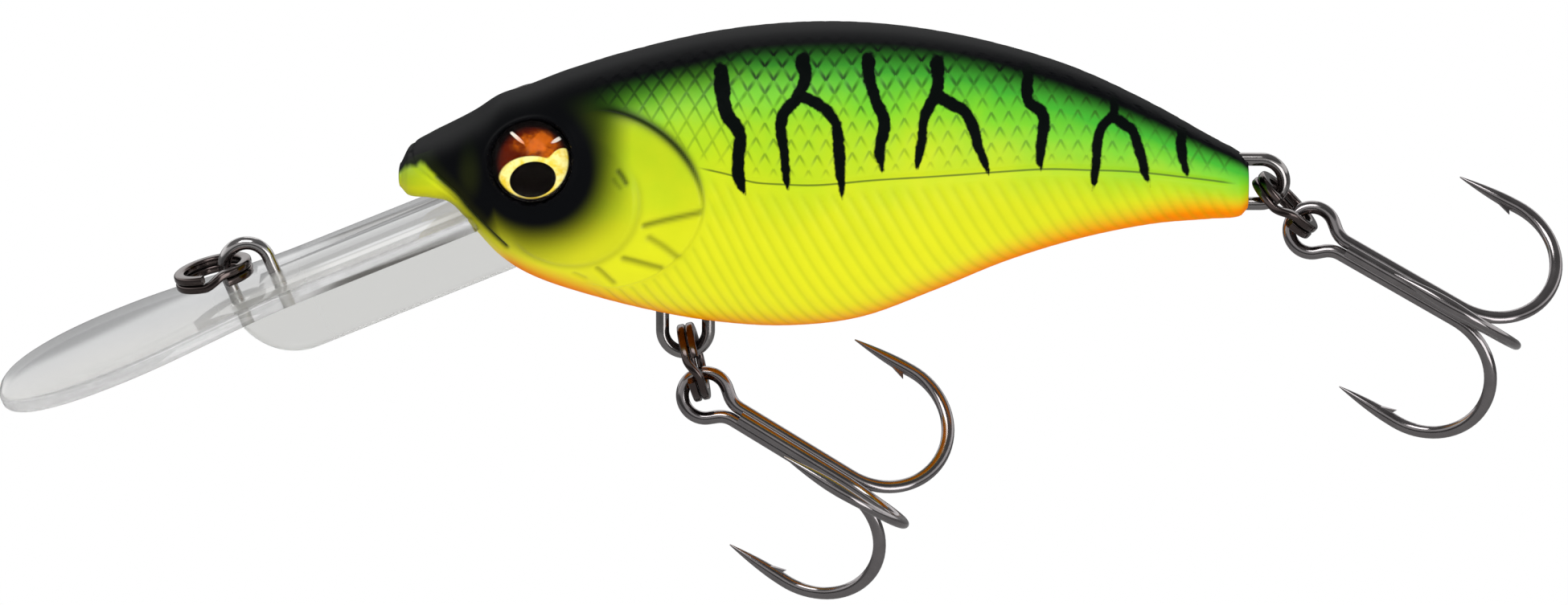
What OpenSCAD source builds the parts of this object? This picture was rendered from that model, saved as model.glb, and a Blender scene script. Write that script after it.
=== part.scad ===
// Deep diving crankbait lure.
// Frame: origin at the centre of the line tie, +X from nose to tail, +Z up,
// so the left half of the body lies on the -Y side. Millimetres.

/* [Body] */
// Length of the body from nose to tail
body_length = 70; // [68:0.5:72]
// Greatest width over both halves
body_width = 18.6; // [17.6:0.2:19.6]
// Nose of the body behind the line tie
nose_x = 12.8; // [12.4:0.1:13.2]
// Wall of the hollow middle of the body
wall = 1.3; // [1.1:0.1:1.5]
// Height of the gill cover's rear edge above the flank
gill_step = 0.35; // [0.1:0.05:0.5]

/* [Eyes] */
// Diameter of the eye sockets
eye_d = 6.8; // [6.2:0.1:7.2]
// Eye centre behind the line tie
eye_x = 23.6; // [23:0.1:24.2]
// Eye centre above the line tie
eye_z = 11.2; // [10.7:0.1:11.5]

/* [Lip] */
// Length of the lip blade in front of the line tie
lip_reach = 23.2; // [20:0.2:26]
// Widest part of the blade
lip_width = 20; // [17:0.5:22]
// Width of the neck behind the line tie
neck_width = 13.6; // [12:0.2:14]
// Thickness of the blade
lip_t = 1.3; // [1.1:0.1:1.5]
// Slope of the blade, nose down
lip_pitch = 22.5; // [20:0.5:25]
// Depth of the keel below the middle of the blade
keel_depth = 6.2; // [6:0.1:6.6]
// Thickness of the keel
keel_t = 1.7; // [1.6:0.1:2]

/* [Wire and hooks] */
// Diameter of the hanger and hook wire
wire_d = 1.1; // [1:0.05:1.2]
// Outside diameter of the wire eyes
eye_od = 4.9; // [4.7:0.1:5.2]
// Bend radius of a hook
hook_bend = 5.6; // [5.2:0.1:6]
// Hook length from the eye's centre to the outside of the bend
hook_length = 20; // [19:0.1:20.5]
// Mean diameter of the split rings
ring_mean_d = 5.7; // [5.4:0.1:6]

/* [Hidden] */
$fn = 48;

// Clearance of pieces that sit in a pocket of another
seat = 0.05;
wire_r = wire_d / 2;
// Mean radius of every wire eye
eye_r = eye_od / 2 - wire_r;

// Body stations: share of the length, top, bottom, half width as a share of the widest
stations = [
    [0.000, 8.9, 6.9, 0.24], [0.010, 10.2, 6.1, 0.45], [0.035, 11.2, 5.9, 0.63],
    [0.060, 12.1, 5.6, 0.73], [0.088, 13.2, 4.1, 0.81], [0.116, 14.5, 1.9, 0.865],
    [0.150, 15.4, -0.4, 0.905], [0.200, 16.8, -1.8, 0.94], [0.286, 18.6, -3.5, 0.985],
    [0.371, 20.1, -4.7, 1.000], [0.457, 20.8, -5.05, 1.000], [0.543, 20.8, -4.4, 0.955],
    [0.629, 20.1, -2.05, 0.86], [0.714, 18.9, 0.45, 0.73], [0.800, 16.9, 2.35, 0.58],
    [0.886, 14.0, 3.55, 0.43], [0.957, 11.2, 4.05, 0.31], [0.991, 9.7, 4.2, 0.25],
    [1.000, 9.0, 4.7, 0.19]];
// Share of the height at which the body is widest
widest_at = 0.52;
// Exponent of the sections: 2 is an ellipse, more is squarer
section_n = 2.4;
// Hollow middle of the body, as shares of the length
hollow_start = 0.24;
hollow_end = 0.87;
shell_rings = 52;
outer_sides = 30;
inner_sides = 12;

// Smooth curve through column k of the stations
function span_of(t, i = 0) =
    i >= len(stations) - 2 || t <= stations[i + 1][0] ? i : span_of(t, i + 1);
function slope_at(i, k) =
    let (a = max(i - 1, 0), b = min(i + 1, len(stations) - 1))
    (stations[b][k] - stations[a][k]) / (stations[b][0] - stations[a][0]);
function station(t, k) =
    let (i = span_of(t), a = stations[i], b = stations[i + 1], d = b[0] - a[0], u = (t - a[0]) / d)
    (2 * u ^ 3 - 3 * u ^ 2 + 1) * a[k] + (u ^ 3 - 2 * u ^ 2 + u) * d * slope_at(i, k)
    + (3 * u ^ 2 - 2 * u ^ 3) * b[k] + (u ^ 3 - u ^ 2) * d * slope_at(i + 1, k);

function share(x) = (x - nose_x) / body_length;
function top_z(x) = station(share(x), 1);
function bottom_z(x) = station(share(x), 2);
function side_y(x) = station(share(x), 3) * body_width / 2;
function mid_z(x) = bottom_z(x) + widest_at * (top_z(x) - bottom_z(x));
// Half width of the body at a place on its side
function half_width(x, z) =
    let (m = mid_z(x), h = z > m ? top_z(x) - m : m - bottom_z(x))
    side_y(x) * (1 - min(1, abs(z - m) / h) ^ section_n) ^ (1 / section_n);

function ramp(a, b, v) = let (u = max(0, min(1, (v - a) / (b - a)))) u * u * (3 - 2 * u);
// Gill cover: a plate that rises to its rear edge and steps down to the flank
gill_x = 29.5;
gill_z = 7.6;
gill_r = 8.3;
function gill(x, z) =
    let (r = norm([x - gill_x, z - gill_z]) / gill_r)
    gill_step * ramp(0.6, 0.97, r) * (1 - ramp(0.99, 1.05, r)) * ramp(27, 30, x);

// Point on the left skin at share t of the length and angle a from the widest level
function skin(t, a, inset = 0, relief = 1) =
    let (x = nose_x + t * body_length, top = station(t, 1) - inset, low = station(t, 2) + inset,
        m = low + widest_at * (top - low), h = a > 0 ? top - m : m - low,
        z = m + h * sign(a) * abs(sin(a)) ^ (2 / section_n),
        y = (station(t, 3) * body_width / 2 - inset) * abs(cos(a)) ^ (2 / section_n))
    [x, -y - relief * gill(x, z) * cos(a), z];

// Rings lie closer together over the head than along the tail
function ring_share(i) = let (u = i / shell_rings) u * (0.7 + 0.3 * u ^ 2);

// Closed skin through rings of points that go round alike
module loft(rings) {
    sides = len(rings[0]);
    points = [for (ring = rings) each ring];
    walls = [for (i = [0:len(rings) - 2], j = [0:sides - 1])
        let (a = i * sides + j, b = i * sides + (j + 1) % sides)
        each [[a, b, b + sides], [a, b + sides, a + sides]]];
    first = [for (j = [sides - 1:-1:0]) j];
    last = [for (j = [0:sides - 1]) len(points) - sides + j];
    polyhedron(points, concat(walls, [first, last]), convexity = 10);
}

// Left half of the body's form, running a little way over the parting plane
parting_over = 1;
module half_form(from, to, sides, inset, relief, over) {
    loft([for (i = [0:shell_rings]) let (t = from + (to - from) * ring_share(i)) concat(
        [skin(t, -90, inset) + [0, over, 0]],
        [for (j = [1:sides - 1]) skin(t, -90 + 180 * j / sides, inset, relief)],
        [skin(t, 90, inset) + [0, over, 0]])]);
}

// Hollow left half, cut flat at the parting plane
module half_shell_skin() {
    difference() {
        half_form(0, 1, outer_sides, 0, 1, parting_over);
        translate([0, 0, -body_length]) cube([2 * body_length, 2 * parting_over, 2 * body_length]);
        half_form(hollow_start, hollow_end, inner_sides, wall, 0, parting_over);
    }
}

// Ribs stop this far short of the parting face
rib_back = 0.05;
// Plate across the left half, from the parting face into the wall
module cross_plate(x, thickness, low, high, steps = 8) {
    edge = [for (k = [0:steps]) let (z = low + (high - low) * k / steps)
        [wall / 2 - half_width(x, z), z]];
    translate([x - thickness / 2, 0, 0])
        rotate([90, 0, 90])
            linear_extrude(thickness) polygon(concat([[-rib_back, low]], edge, [[-rib_back, high]]));
}

// Level plate across the left half
module level_plate(from, to, low, thickness, steps = 8) {
    edge = [for (k = [0:steps]) let (x = to + (from - to) * k / steps)
        [x, wall / 2 - half_width(x, low + thickness / 2)]];
    translate([0, 0, low])
        linear_extrude(thickness) polygon(concat([[from, -rib_back], [to, -rib_back]], edge));
}

// Web along the belly that grips the hanger link
web_from = 31;
web_to = 41.5;
web_top = 3.2;
web_t = 2.4;
module belly_web(steps = 8) {
    foot = [for (k = [0:steps]) let (x = web_from + (web_to - web_from) * k / steps)
        [x, bottom_z(x) + wall / 2]];
    translate([0, -rib_back, 0])
        rotate([90, 0, 0])
            linear_extrude(web_t) polygon(concat(foot, [[web_to, web_top], [web_from, web_top]]));
}

// Ballast: a bar lying along the belly behind the hanger
ballast_x = 42.9;
ballast_length = 8.2;
ballast_r = 2.9;
ballast_z = -0.5;
ballast_rib_x = [44.4, 49.6];
rib_t = 1.2;
ballast_rib_top = 1.4;
module ballast_bar(grow) {
    translate([ballast_x - grow, 0, ballast_z])
        rotate([0, 90, 0]) cylinder(h = ballast_length + 2 * grow, r = ballast_r + grow);
}

// Rattle chamber: floor, ceiling and two end walls
chamber_from = 47;
chamber_to = 60;
chamber_floor = 5.4;
chamber_height = 6.2;
ball_d = 5;
ball_y = 2.8;
chamber_wall = 1;
chamber_over = 1.5;
module chamber_walls() {
    for (z = [chamber_floor - chamber_wall, chamber_floor + chamber_height])
        level_plate(chamber_from - chamber_over, chamber_to + chamber_over, z, chamber_wall);
    for (x = [chamber_from - chamber_wall / 2, chamber_to + chamber_wall / 2])
        cross_plate(x, chamber_wall, chamber_floor - chamber_wall / 2,
            chamber_floor + chamber_height + chamber_wall / 2);
}

// Locating pins of the left half: behind the eyes, amidships and in the tail
pin_places = [[27.6, 11.5], [40.5, 9], [75.2, 11]];
pin_r = 0.9;
pin_length = 1.8;
pin_root = 1;
post_r = 1.8;
module on_parting(place) {
    translate([place[0], 0, place[1]]) rotate([-90, 0, 0]) children();
}

// Pins through the lip's tongue, in the lip's frame
tongue_pins = [[22.2, -2.4], [24.6, -2.4]];
tongue_pin_r = 0.8;
tongue_pin_length = 2.2;

// Left half without pins: skin, ribs, chamber and the seats of lip, links and eye
module plain_half() {
    difference() {
        union() {
            half_shell_skin();
            belly_web();
            chamber_walls();
            for (x = ballast_rib_x)
                cross_plate(x, rib_t, bottom_z(x) + wall / 2, ballast_rib_top);
            mid = pin_places[1];
            translate([mid[0], -rib_back, mid[1]])
                rotate([90, 0, 0]) cylinder(h = half_width(mid[0], mid[1]) - wall / 2, r = post_r);
        }
        in_lip_frame() lip_form(seat);
        belly_link(wire_r + seat);
        tail_link(wire_r + seat);
        ballast_bar(seat);
        in_left_eye() translate([0, 0, -eye_depth]) cylinder(h = 3 * eye_depth, r = eye_d / 2);
    }
}

module body_left_shell() {
    color([0.84, 0.91, 0.16]) {
        plain_half();
        for (place = pin_places)
            on_parting(place) translate([0, 0, -pin_root]) cylinder(h = pin_root + pin_length, r = pin_r);
        in_lip_frame()
            for (place = tongue_pins)
                on_parting(place)
                    translate([0, 0, -keel_t / 2 - pin_root])
                        cylinder(h = keel_t / 2 + pin_root + tongue_pin_length, r = tongue_pin_r);
    }
}

module body_right_shell() {
    color([0.84, 0.91, 0.16])
        difference() {
            mirror([0, 1, 0]) plain_half();
            for (place = pin_places)
                on_parting(place)
                    translate([0, 0, -pin_root])
                        cylinder(h = pin_root + pin_length + 4 * seat, r = pin_r + seat);
            in_lip_frame()
                for (place = tongue_pins)
                    on_parting(place) cylinder(h = tongue_pin_length + 4 * seat, r = tongue_pin_r + seat);
        }
}

// Lip frame: X along the blade towards the tail, Z out of its upper face,
// origin at the middle of the blade below the line tie
tie_height = 2.35;
module in_lip_frame() {
    rotate([0, -lip_pitch, 0]) translate([0, 0, -tie_height]) children();
}

// Blade outline: broad rounded tip, waisted neck, shoulders at the cheeks, tongue
tip_length = 10.8;
tip_n = 2.4;
wide_x = tip_length - lip_reach;
neck_x = 4;
shoulder_x = 19.6;
shoulder_slope = 0.8;
tongue_width = 9;
tongue_end = 24.6;
function tip_point(a) = [wide_x - tip_length * cos(a) ^ (2 / tip_n), lip_width / 2 * sin(a) ^ (2 / tip_n)];
function waist_point(u) =
    [wide_x + (neck_x - wide_x) * u, neck_width / 2 + (lip_width - neck_width) / 4 * (1 + cos(180 * u))];
function blade_edge() = concat(
    [for (a = [6:7:90]) tip_point(a)],
    [for (u = [0.1:0.1:1]) waist_point(u)],
    [[shoulder_x, neck_width / 2], [shoulder_x + shoulder_slope, tongue_width / 2],
        [tongue_end, tongue_width / 2]]);
function other_side(edge) = [for (k = [len(edge) - 1:-1:0]) [edge[k][0], -edge[k][1]]];

// Keel fin below the blade, with a tongue that the body's pins pass through
keel_x = 2.8;
keel_front = 5.4;
keel_root = 0.5;
keel_seat_x = 20.9;
keel_heel = 0.8;
tongue_low = -4.2;
keel_tongue_end = 26;
function keel_outline() = concat(
    [for (a = [0:15:90])
        [keel_x - keel_front * cos(a), -keel_root - (keel_depth - keel_root) * sin(a)]],
    [[keel_seat_x, -keel_depth], [keel_seat_x - keel_heel, tongue_low], [keel_tongue_end, tongue_low],
        [keel_tongue_end, 0], [keel_x - keel_front, 0]]);

// Low rounded rib along the top of the neck, from the rear leg of the line tie into the mouth
rib_width = 4.6;
rib_height = 0.45;
rib_from = 0.4;
rib_to = 18.8;
rib_front = 15;
rib_sink = 0.1;
rib_r = (rib_width ^ 2 / 4 + rib_height ^ 2) / (2 * rib_height);
module rib(grow) {
    half = asin(rib_width / 2 / rib_r);
    crown = lip_t / 2 + rib_height - rib_r;
    profile = concat(
        [for (k = [-4:4]) [crown + (rib_r + grow) * cos(k * half / 4), (rib_r + grow) * sin(k * half / 4)]],
        [[lip_t / 2 - rib_sink, rib_width / 2 + grow], [lip_t / 2 - rib_sink, -rib_width / 2 - grow]]);
    difference() {
        translate([rib_from, 0, 0])
            rotate([0, 90, 0]) mirror([1, 0, 0]) linear_extrude(rib_to - rib_from + grow) polygon(profile);
        translate([rib_from, 0, lip_t / 2])
            rotate([0, -rib_front, 0])
                translate([-rib_width, -rib_width, 0]) cube([3 * rib_width, 2 * rib_width, rib_width]);
    }
}

// Solid of the lip, grown by a clearance where it is used to cut its seat
module lip_form(grow) {
    edge = [for (p = blade_edge()) [p[0] + grow * sign(p[0]), p[1] + grow]];
    translate([0, 0, -lip_t / 2 - grow])
        linear_extrude(lip_t + 2 * grow) polygon(concat(edge, other_side(edge)));
    rotate([90, 0, 0])
        linear_extrude(keel_t + 2 * grow, center = true)
            polygon([for (p = keel_outline()) [p[0] + (p[0] > keel_x ? grow : 0), p[1] - grow]]);
    rib(grow);
}

module diving_lip() {
    color([0.85, 0.87, 0.88, 0.6])
        in_lip_frame()
            difference() {
                lip_form(0);
                for (x = [-eye_r, eye_r])
                    translate([x, 0, tie_height - tie_leg - 2 * wire_lap])
                        cylinder(h = tie_leg, r = wire_r + seat / 2);
                for (place = tongue_pins)
                    on_parting(place) cylinder(h = 2 * keel_t, r = tongue_pin_r + seat, center = true);
            }
}

// Pen for bent wire: each stretch starts at the origin along +Z and bends towards +X,
// and what follows it is drawn from its end. A straight runs a little way into the bends
// beside it and is a hair thinner, so that no two faces coincide.
wire_lap = 0.08;
wire_trim = 0.004;
module straight(length, r = wire_r) {
    translate([0, 0, -wire_lap]) cylinder(h = length + 2 * wire_lap, r = r - wire_trim);
    translate([0, 0, length]) children();
}
module after_bend(radius, angle) {
    translate([radius, 0, 0]) rotate([0, angle, 0]) translate([-radius, 0, 0]) children();
}
module arc(radius, from, to, r) {
    translate([radius, 0, 0])
        rotate([90, 0, 0])
            rotate_extrude(start = 180 - to, angle = to - from) translate([radius, 0]) circle(r);
}
module bend(radius, angle, r = wire_r) {
    arc(radius, 0, angle, r);
    after_bend(radius, angle) children();
}

// Line tie: a wire staple whose legs are moulded into the lip's keel
tie_leg = 3.1;
module line_tie_wire() {
    color([0.45, 0.45, 0.46])
        in_lip_frame()
            translate([-eye_r, 0, tie_height - tie_leg])
                straight(tie_leg) bend(eye_r, 180) straight(tie_leg);
}

// Closed wire link from one eye centre to the other
module link(length, r) {
    translate([-eye_r, 0, 0]) straight(length, r) bend(eye_r, 180, r) straight(length, r) bend(eye_r, 180, r);
}
belly_eye = [36.3, -5.6];
belly_link_length = 5.2;
tail_eye = [83.9, 7.2];
tail_link_length = 5.4;
module belly_link(r) {
    translate([belly_eye[0], 0, belly_eye[1]]) link(belly_link_length, r);
}
module tail_link(r) {
    translate([tail_eye[0], 0, tail_eye[1]]) rotate([0, -90, 0]) link(tail_link_length, r);
}
module belly_hanger_wire() {
    color([0.36, 0.35, 0.36]) belly_link(wire_r);
}
module tail_hanger_wire() {
    color([0.36, 0.35, 0.36]) tail_link(wire_r);
}

// Split ring: two flat turns joined by a step, both ends free
ring_radial = 0.9;
ring_axial = 0.66;
turn_gap = 0.06;
ring_chamfer = 0.2;
turn_angle = 322;
step_start = -75;
step_rings = 6;
// The step's ends run a little way inside the turns, with a hair smaller section
step_lap = 4;
step_trim = 0.01;
turn_level = (ring_axial + turn_gap) / 2;
ring_r = ring_mean_d / 2;
function ring_profile(trim = 0) =
    let (x = ring_radial / 2 - trim, y = ring_axial / 2 - trim, c = ring_chamfer)
    [[x, y - c], [x - c, y], [c - x, y], [-x, y - c], [-x, c - y], [c - x, -y], [x - c, -y], [x, c - y]];
module ring_turn(level) {
    rotate_extrude(start = step_start, angle = turn_angle)
        translate([ring_r, level]) polygon(ring_profile());
}
module ring_step() {
    step_angle = 360 - turn_angle;
    lap = step_lap / step_angle;
    places = concat([-lap], [for (i = [0:step_rings]) i / step_rings], [1 + lap]);
    loft([for (u = places) let (a = step_start + turn_angle + step_angle * u)
        [for (p = ring_profile(step_trim))
            [(ring_r + p[0]) * cos(a), (ring_r + p[0]) * sin(a), p[1] + turn_level * (2 * ramp(0, 1, u) - 1)]]]);
}
module split_ring(eye, turn) {
    color([0.22, 0.2, 0.2])
        translate([eye[0], 0, eye[1]])
            rotate([0, turn, 0])
                translate([ring_r, 0, 0]) {
                    ring_turn(-turn_level);
                    ring_turn(turn_level);
                    ring_step();
                }
}
// Direction of each ring from its eye, turned down from +X
tie_ring_turn = 166;
belly_ring_turn = 76;
tail_ring_turn = 45;
function far_strand(eye, turn) = eye + ring_mean_d * [cos(turn), -sin(turn)];
module line_tie_split_ring() split_ring([0, 0], tie_ring_turn);
module belly_split_ring() split_ring(belly_eye, belly_ring_turn);
module tail_split_ring() split_ring(tail_eye, tail_ring_turn);

// Treble: shank along +X from the eye, three arms 120 degrees apart.
// The double hook is one wire with the eye and two arms, and the single hook is the third arm.
// Pitch, yaw and roll in which each treble hangs
belly_hang = [30.3, -8.4, -9.7];
tail_hang = [27.9, -12, -14];
eye_slack = 0.28;
arm_gap = 0.015;
shank_r = wire_r * 2 / sqrt(3) + arm_gap;
neck_turn = 130;
neck_bend = 2;
neck_straight = (eye_r * sin(neck_turn) - neck_bend * (1 - sin(neck_turn)) - shank_r * cos(30))
    / -cos(neck_turn);
shank_start = neck_straight * sin(neck_turn) - (eye_r + neck_bend) * cos(neck_turn);
shank_end = hook_length - wire_r - hook_bend;
point_length = 4.6;
point_tip_r = 0.05;
barb_t = 0.36;
barb_from = 1.3;
barb_length = 1.8;
barb_notch = 0.3;
barb_reach = 1;
bend_turn = 182.5;
bend_heel = 0.8;
single_start = 3.4;
module in_hook_frame(strand, hang) {
    translate([strand[0], 0, strand[1]])
        rotate([0, hang[0], 0])
            rotate([0, 0, hang[1]])
                rotate([hang[2], 0, 0])
                    translate([eye_slack, 0, 0]) children();
}
// Needle point with a barb on the side of the shank
module hook_point() {
    cylinder(h = point_length, r1 = wire_r, r2 = point_tip_r);
    rotate([90, 0, 0])
        linear_extrude(barb_t, center = true)
            polygon([[wire_r / 2, barb_from], [barb_reach, barb_from - barb_length], [wire_r / 2, barb_notch]]);
}
module arm_bend() {
    bend(hook_bend, bend_turn) straight(bend_heel) hook_point();
}
// One arm of the double hook, from the far end of the eye
module double_arm() {
    after_bend(eye_r, neck_turn)
        straight(neck_straight)
            rotate([0, 0, 180])
                bend(neck_bend, neck_turn - 90)
                    straight(shank_end - shank_start)
                        rotate([0, 0, -30]) arm_bend();
}
module double_hook(strand, hang) {
    color([0.4, 0.39, 0.4])
        in_hook_frame(strand, hang)
            translate([-eye_r, shank_r / 2, 0]) {
                arc(eye_r, -neck_turn, neck_turn, wire_r);
                double_arm();
                mirror([0, 0, 1]) double_arm();
            }
}
module single_hook(strand, hang) {
    color([0.4, 0.39, 0.4])
        in_hook_frame(strand, hang)
            rotate([-90, 0, 0])
                rotate([0, 90, 0])
                    translate([shank_r, 0, single_start])
                        straight(shank_end - single_start) arm_bend();
}
module belly_hook_double() double_hook(far_strand(belly_eye, belly_ring_turn), belly_hang);
module belly_hook_single() single_hook(far_strand(belly_eye, belly_ring_turn), belly_hang);
module tail_hook_double() double_hook(far_strand(tail_eye, tail_ring_turn), tail_hang);
module tail_hook_single() single_hook(far_strand(tail_eye, tail_ring_turn), tail_hang);

// Eyes: a painted disc under a clear dome, in a round socket square to the cheek
eye_depth = 1.5;
iris_t = 0.5;
lens_t = 1.5;
lens_edge = 0.45;
eye_gap = 0.02;
lens_r = eye_d / 2 - seat;
lens_dome_r = (lens_r ^ 2 + (lens_t - lens_edge) ^ 2) / (2 * (lens_t - lens_edge));
eye_yaw = atan((half_width(eye_x + 1, eye_z) - half_width(eye_x - 1, eye_z)) / 2);
eye_rise = atan((half_width(eye_x, eye_z - 1) - half_width(eye_x, eye_z + 1)) / 2);
module in_left_eye() {
    translate([eye_x, -half_width(eye_x, eye_z), eye_z])
        rotate([90 - eye_rise, 0, -eye_yaw]) children();
}
module left_eye_iris() {
    color([0.75, 0.45, 0.12])
        in_left_eye() translate([0, 0, eye_gap - eye_depth]) cylinder(h = iris_t, r = lens_r);
}
module left_eye_lens() {
    color([0.95, 0.95, 0.9, 0.5])
        in_left_eye()
            translate([0, 0, iris_t + 2 * eye_gap - eye_depth])
                intersection() {
                    cylinder(h = lens_t, r = lens_r);
                    translate([0, 0, lens_t - lens_dome_r]) sphere(lens_dome_r);
                }
}
module right_eye_iris() mirror([0, 1, 0]) left_eye_iris();
module right_eye_lens() mirror([0, 1, 0]) left_eye_lens();

module belly_ballast() {
    color([0.55, 0.55, 0.57]) ballast_bar(0);
}
module rattle_ball(side) {
    color([0.7, 0.7, 0.72])
        translate([chamber_from + ball_d / 2 + seat, side * ball_y, chamber_floor + ball_d / 2 + seat])
            sphere(d = ball_d);
}
module rattle_ball_left() rattle_ball(-1);
module rattle_ball_right() rattle_ball(1);

body_left_shell();
body_right_shell();
diving_lip();
line_tie_wire();
line_tie_split_ring();
belly_hanger_wire();
belly_split_ring();
belly_hook_double();
belly_hook_single();
tail_hanger_wire();
tail_split_ring();
tail_hook_double();
tail_hook_single();
left_eye_iris();
left_eye_lens();
right_eye_iris();
right_eye_lens();
belly_ballast();
rattle_ball_left();
rattle_ball_right();
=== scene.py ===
import math

import bmesh
import bpy
import numpy as np
from mathutils import Matrix, Vector


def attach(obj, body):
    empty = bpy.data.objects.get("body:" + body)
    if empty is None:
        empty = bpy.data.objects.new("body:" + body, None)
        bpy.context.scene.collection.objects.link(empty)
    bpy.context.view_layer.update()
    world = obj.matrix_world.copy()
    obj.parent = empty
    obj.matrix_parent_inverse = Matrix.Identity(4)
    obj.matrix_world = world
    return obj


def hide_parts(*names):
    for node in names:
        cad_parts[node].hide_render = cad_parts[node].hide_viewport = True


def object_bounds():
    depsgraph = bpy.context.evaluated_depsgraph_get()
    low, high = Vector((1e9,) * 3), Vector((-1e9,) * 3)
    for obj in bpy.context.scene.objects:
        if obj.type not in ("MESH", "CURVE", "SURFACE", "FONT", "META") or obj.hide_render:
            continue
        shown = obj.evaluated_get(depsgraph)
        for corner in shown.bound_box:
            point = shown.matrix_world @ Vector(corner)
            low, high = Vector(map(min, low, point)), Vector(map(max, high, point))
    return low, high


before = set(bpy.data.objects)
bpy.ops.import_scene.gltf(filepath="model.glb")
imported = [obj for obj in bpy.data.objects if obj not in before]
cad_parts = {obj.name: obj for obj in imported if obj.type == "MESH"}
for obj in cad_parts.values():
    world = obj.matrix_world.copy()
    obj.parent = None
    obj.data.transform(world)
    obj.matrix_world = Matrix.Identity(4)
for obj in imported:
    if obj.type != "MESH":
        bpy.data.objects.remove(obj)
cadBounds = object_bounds()
mm = 0.001
print("frame loaded:", len(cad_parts), "CAD nodes")


class Form(dict):  # a dictionary whose values also read as form.name
    __getattr__ = dict.__getitem__


def smooth(low, high, value):  # 0 at low, 1 at high, either way round
    u = np.clip((value - low) / (high - low), 0, 1)
    return u * u * (3 - 2 * u)


def between(value, start, full, fading, end):
    return smooth(start, full, value) * smooth(end, fading, value)


def bell(away, width):
    return np.exp(-((away / width) ** 2))


def paint(red, green, blue):  # screen colour written as linear light
    share = np.array([red, green, blue]) / 255
    return (*np.where(share < 0.0404, share / 12.92, ((share + 0.055) / 1.055) ** 2.4).tolist(), 1)


def turned(axis, degrees):
    return Matrix.Rotation(math.radians(degrees), 4, axis)


def shifted(x, y, z):
    return Matrix.Translation((x, y, z))


def movedBy(place, points):
    return np.asarray(points) @ np.array(place.to_3x3()).T + np.array(place.translation)


def curveThrough(points, steps=8):  # smooth line through rows of numbers
    rows = np.array(points, float)
    ends = np.vstack([2 * rows[0] - rows[1], rows, 2 * rows[-1] - rows[-2]])
    made = [rows[0]]
    for a, b, c, d in zip(ends[:-3], ends[1:-2], ends[2:-1], ends[3:]):
        for u in np.arange(1, steps + 1) / steps:
            made.append(0.5 * (2 * b + (c - a) * u + (2 * a - 5 * b + 4 * c - d) * u**2
                               + (3 * b - a - 3 * c + d) * u**3))
    return np.array(made)


def lineDistance(x, z, rows):  # distance to a line on the flank, and the row values beside it
    best = np.full(x.shape, 1e9)
    beside = np.zeros(x.shape + (rows.shape[1],))
    for a, b in zip(rows[:-1], rows[1:]):
        run = b[:2] - a[:2]
        u = np.clip(((x - a[0]) * run[0] + (z - a[1]) * run[1]) / max(run @ run, 1e-9), 0, 1)
        away = np.hypot(x - a[0] - u * run[0], z - a[1] - u * run[1])
        closer = away < best
        best = np.where(closer, away, best)
        beside = np.where(closer[..., None], a + u[..., None] * (b - a), beside)
    return best, beside


def linked(name, data):
    item = bpy.data.objects.new(name, data)
    bpy.context.scene.collection.objects.link(item)
    return item


def addPiece(name, verts, faces):
    mesh = bpy.data.meshes.new(name)
    mesh.from_pydata((np.asarray(verts, float) * mm).tolist(), [], [list(map(int, f)) for f in faces])
    shape = bmesh.new()
    shape.from_mesh(mesh)
    bmesh.ops.recalc_face_normals(shape, faces=shape.faces)
    shape.to_mesh(mesh)
    shape.free()
    return linked(name, mesh)


def addPath(name, points, closed=False):
    count = len(points)
    mesh = bpy.data.meshes.new(name)
    edges = [(k, (k + 1) % count) for k in range(count if closed else count - 1)]
    mesh.from_pydata((points * mm).tolist(), edges, [])
    return linked(name, mesh)


def addValues(piece, label, values):  # one number or one vector for each point
    kind, key = ("FLOAT", "value") if values.ndim == 1 else ("FLOAT_VECTOR", "vector")
    layer = piece.data.attributes.new(label, kind, "POINT")
    layer.data.foreach_set(key, np.ascontiguousarray(values, np.float32).ravel())


def tubeFaces(rings, count, first=0):  # quads between closed rings of points
    pairs = [(first + ring * count + k, first + ring * count + (k + 1) % count)
             for ring in range(rings - 1) for k in range(count)]
    return [(a, b, b + count, a + count) for a, b in pairs]


def cappedTube(name, rings, place):
    count, verts = len(rings[0]), np.concatenate(rings)
    caps = [range(count), range(len(verts) - count, len(verts))]
    return addPiece(name, movedBy(place, verts), tubeFaces(len(rings), count) + caps)


def softEdges(piece, angle):
    piece.data.shade_smooth()
    piece.data.set_sharp_from_angle(angle=math.radians(angle))


def settle(piece, material, body, slotName, *nodes):
    piece.data.materials.clear()
    piece.data.materials.append(material)
    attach(piece, body)
    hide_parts(*nodes)


def evaluated(piece):  # the piece's mesh with its modifiers worked in
    graph = bpy.context.evaluated_depsgraph_get()
    done = piece.evaluated_get(graph)
    made = bpy.data.meshes.new_from_object(done, preserve_all_data_layers=True, depsgraph=graph)
    made.name = piece.name
    piece.modifiers.clear()
    piece.data = made


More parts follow.
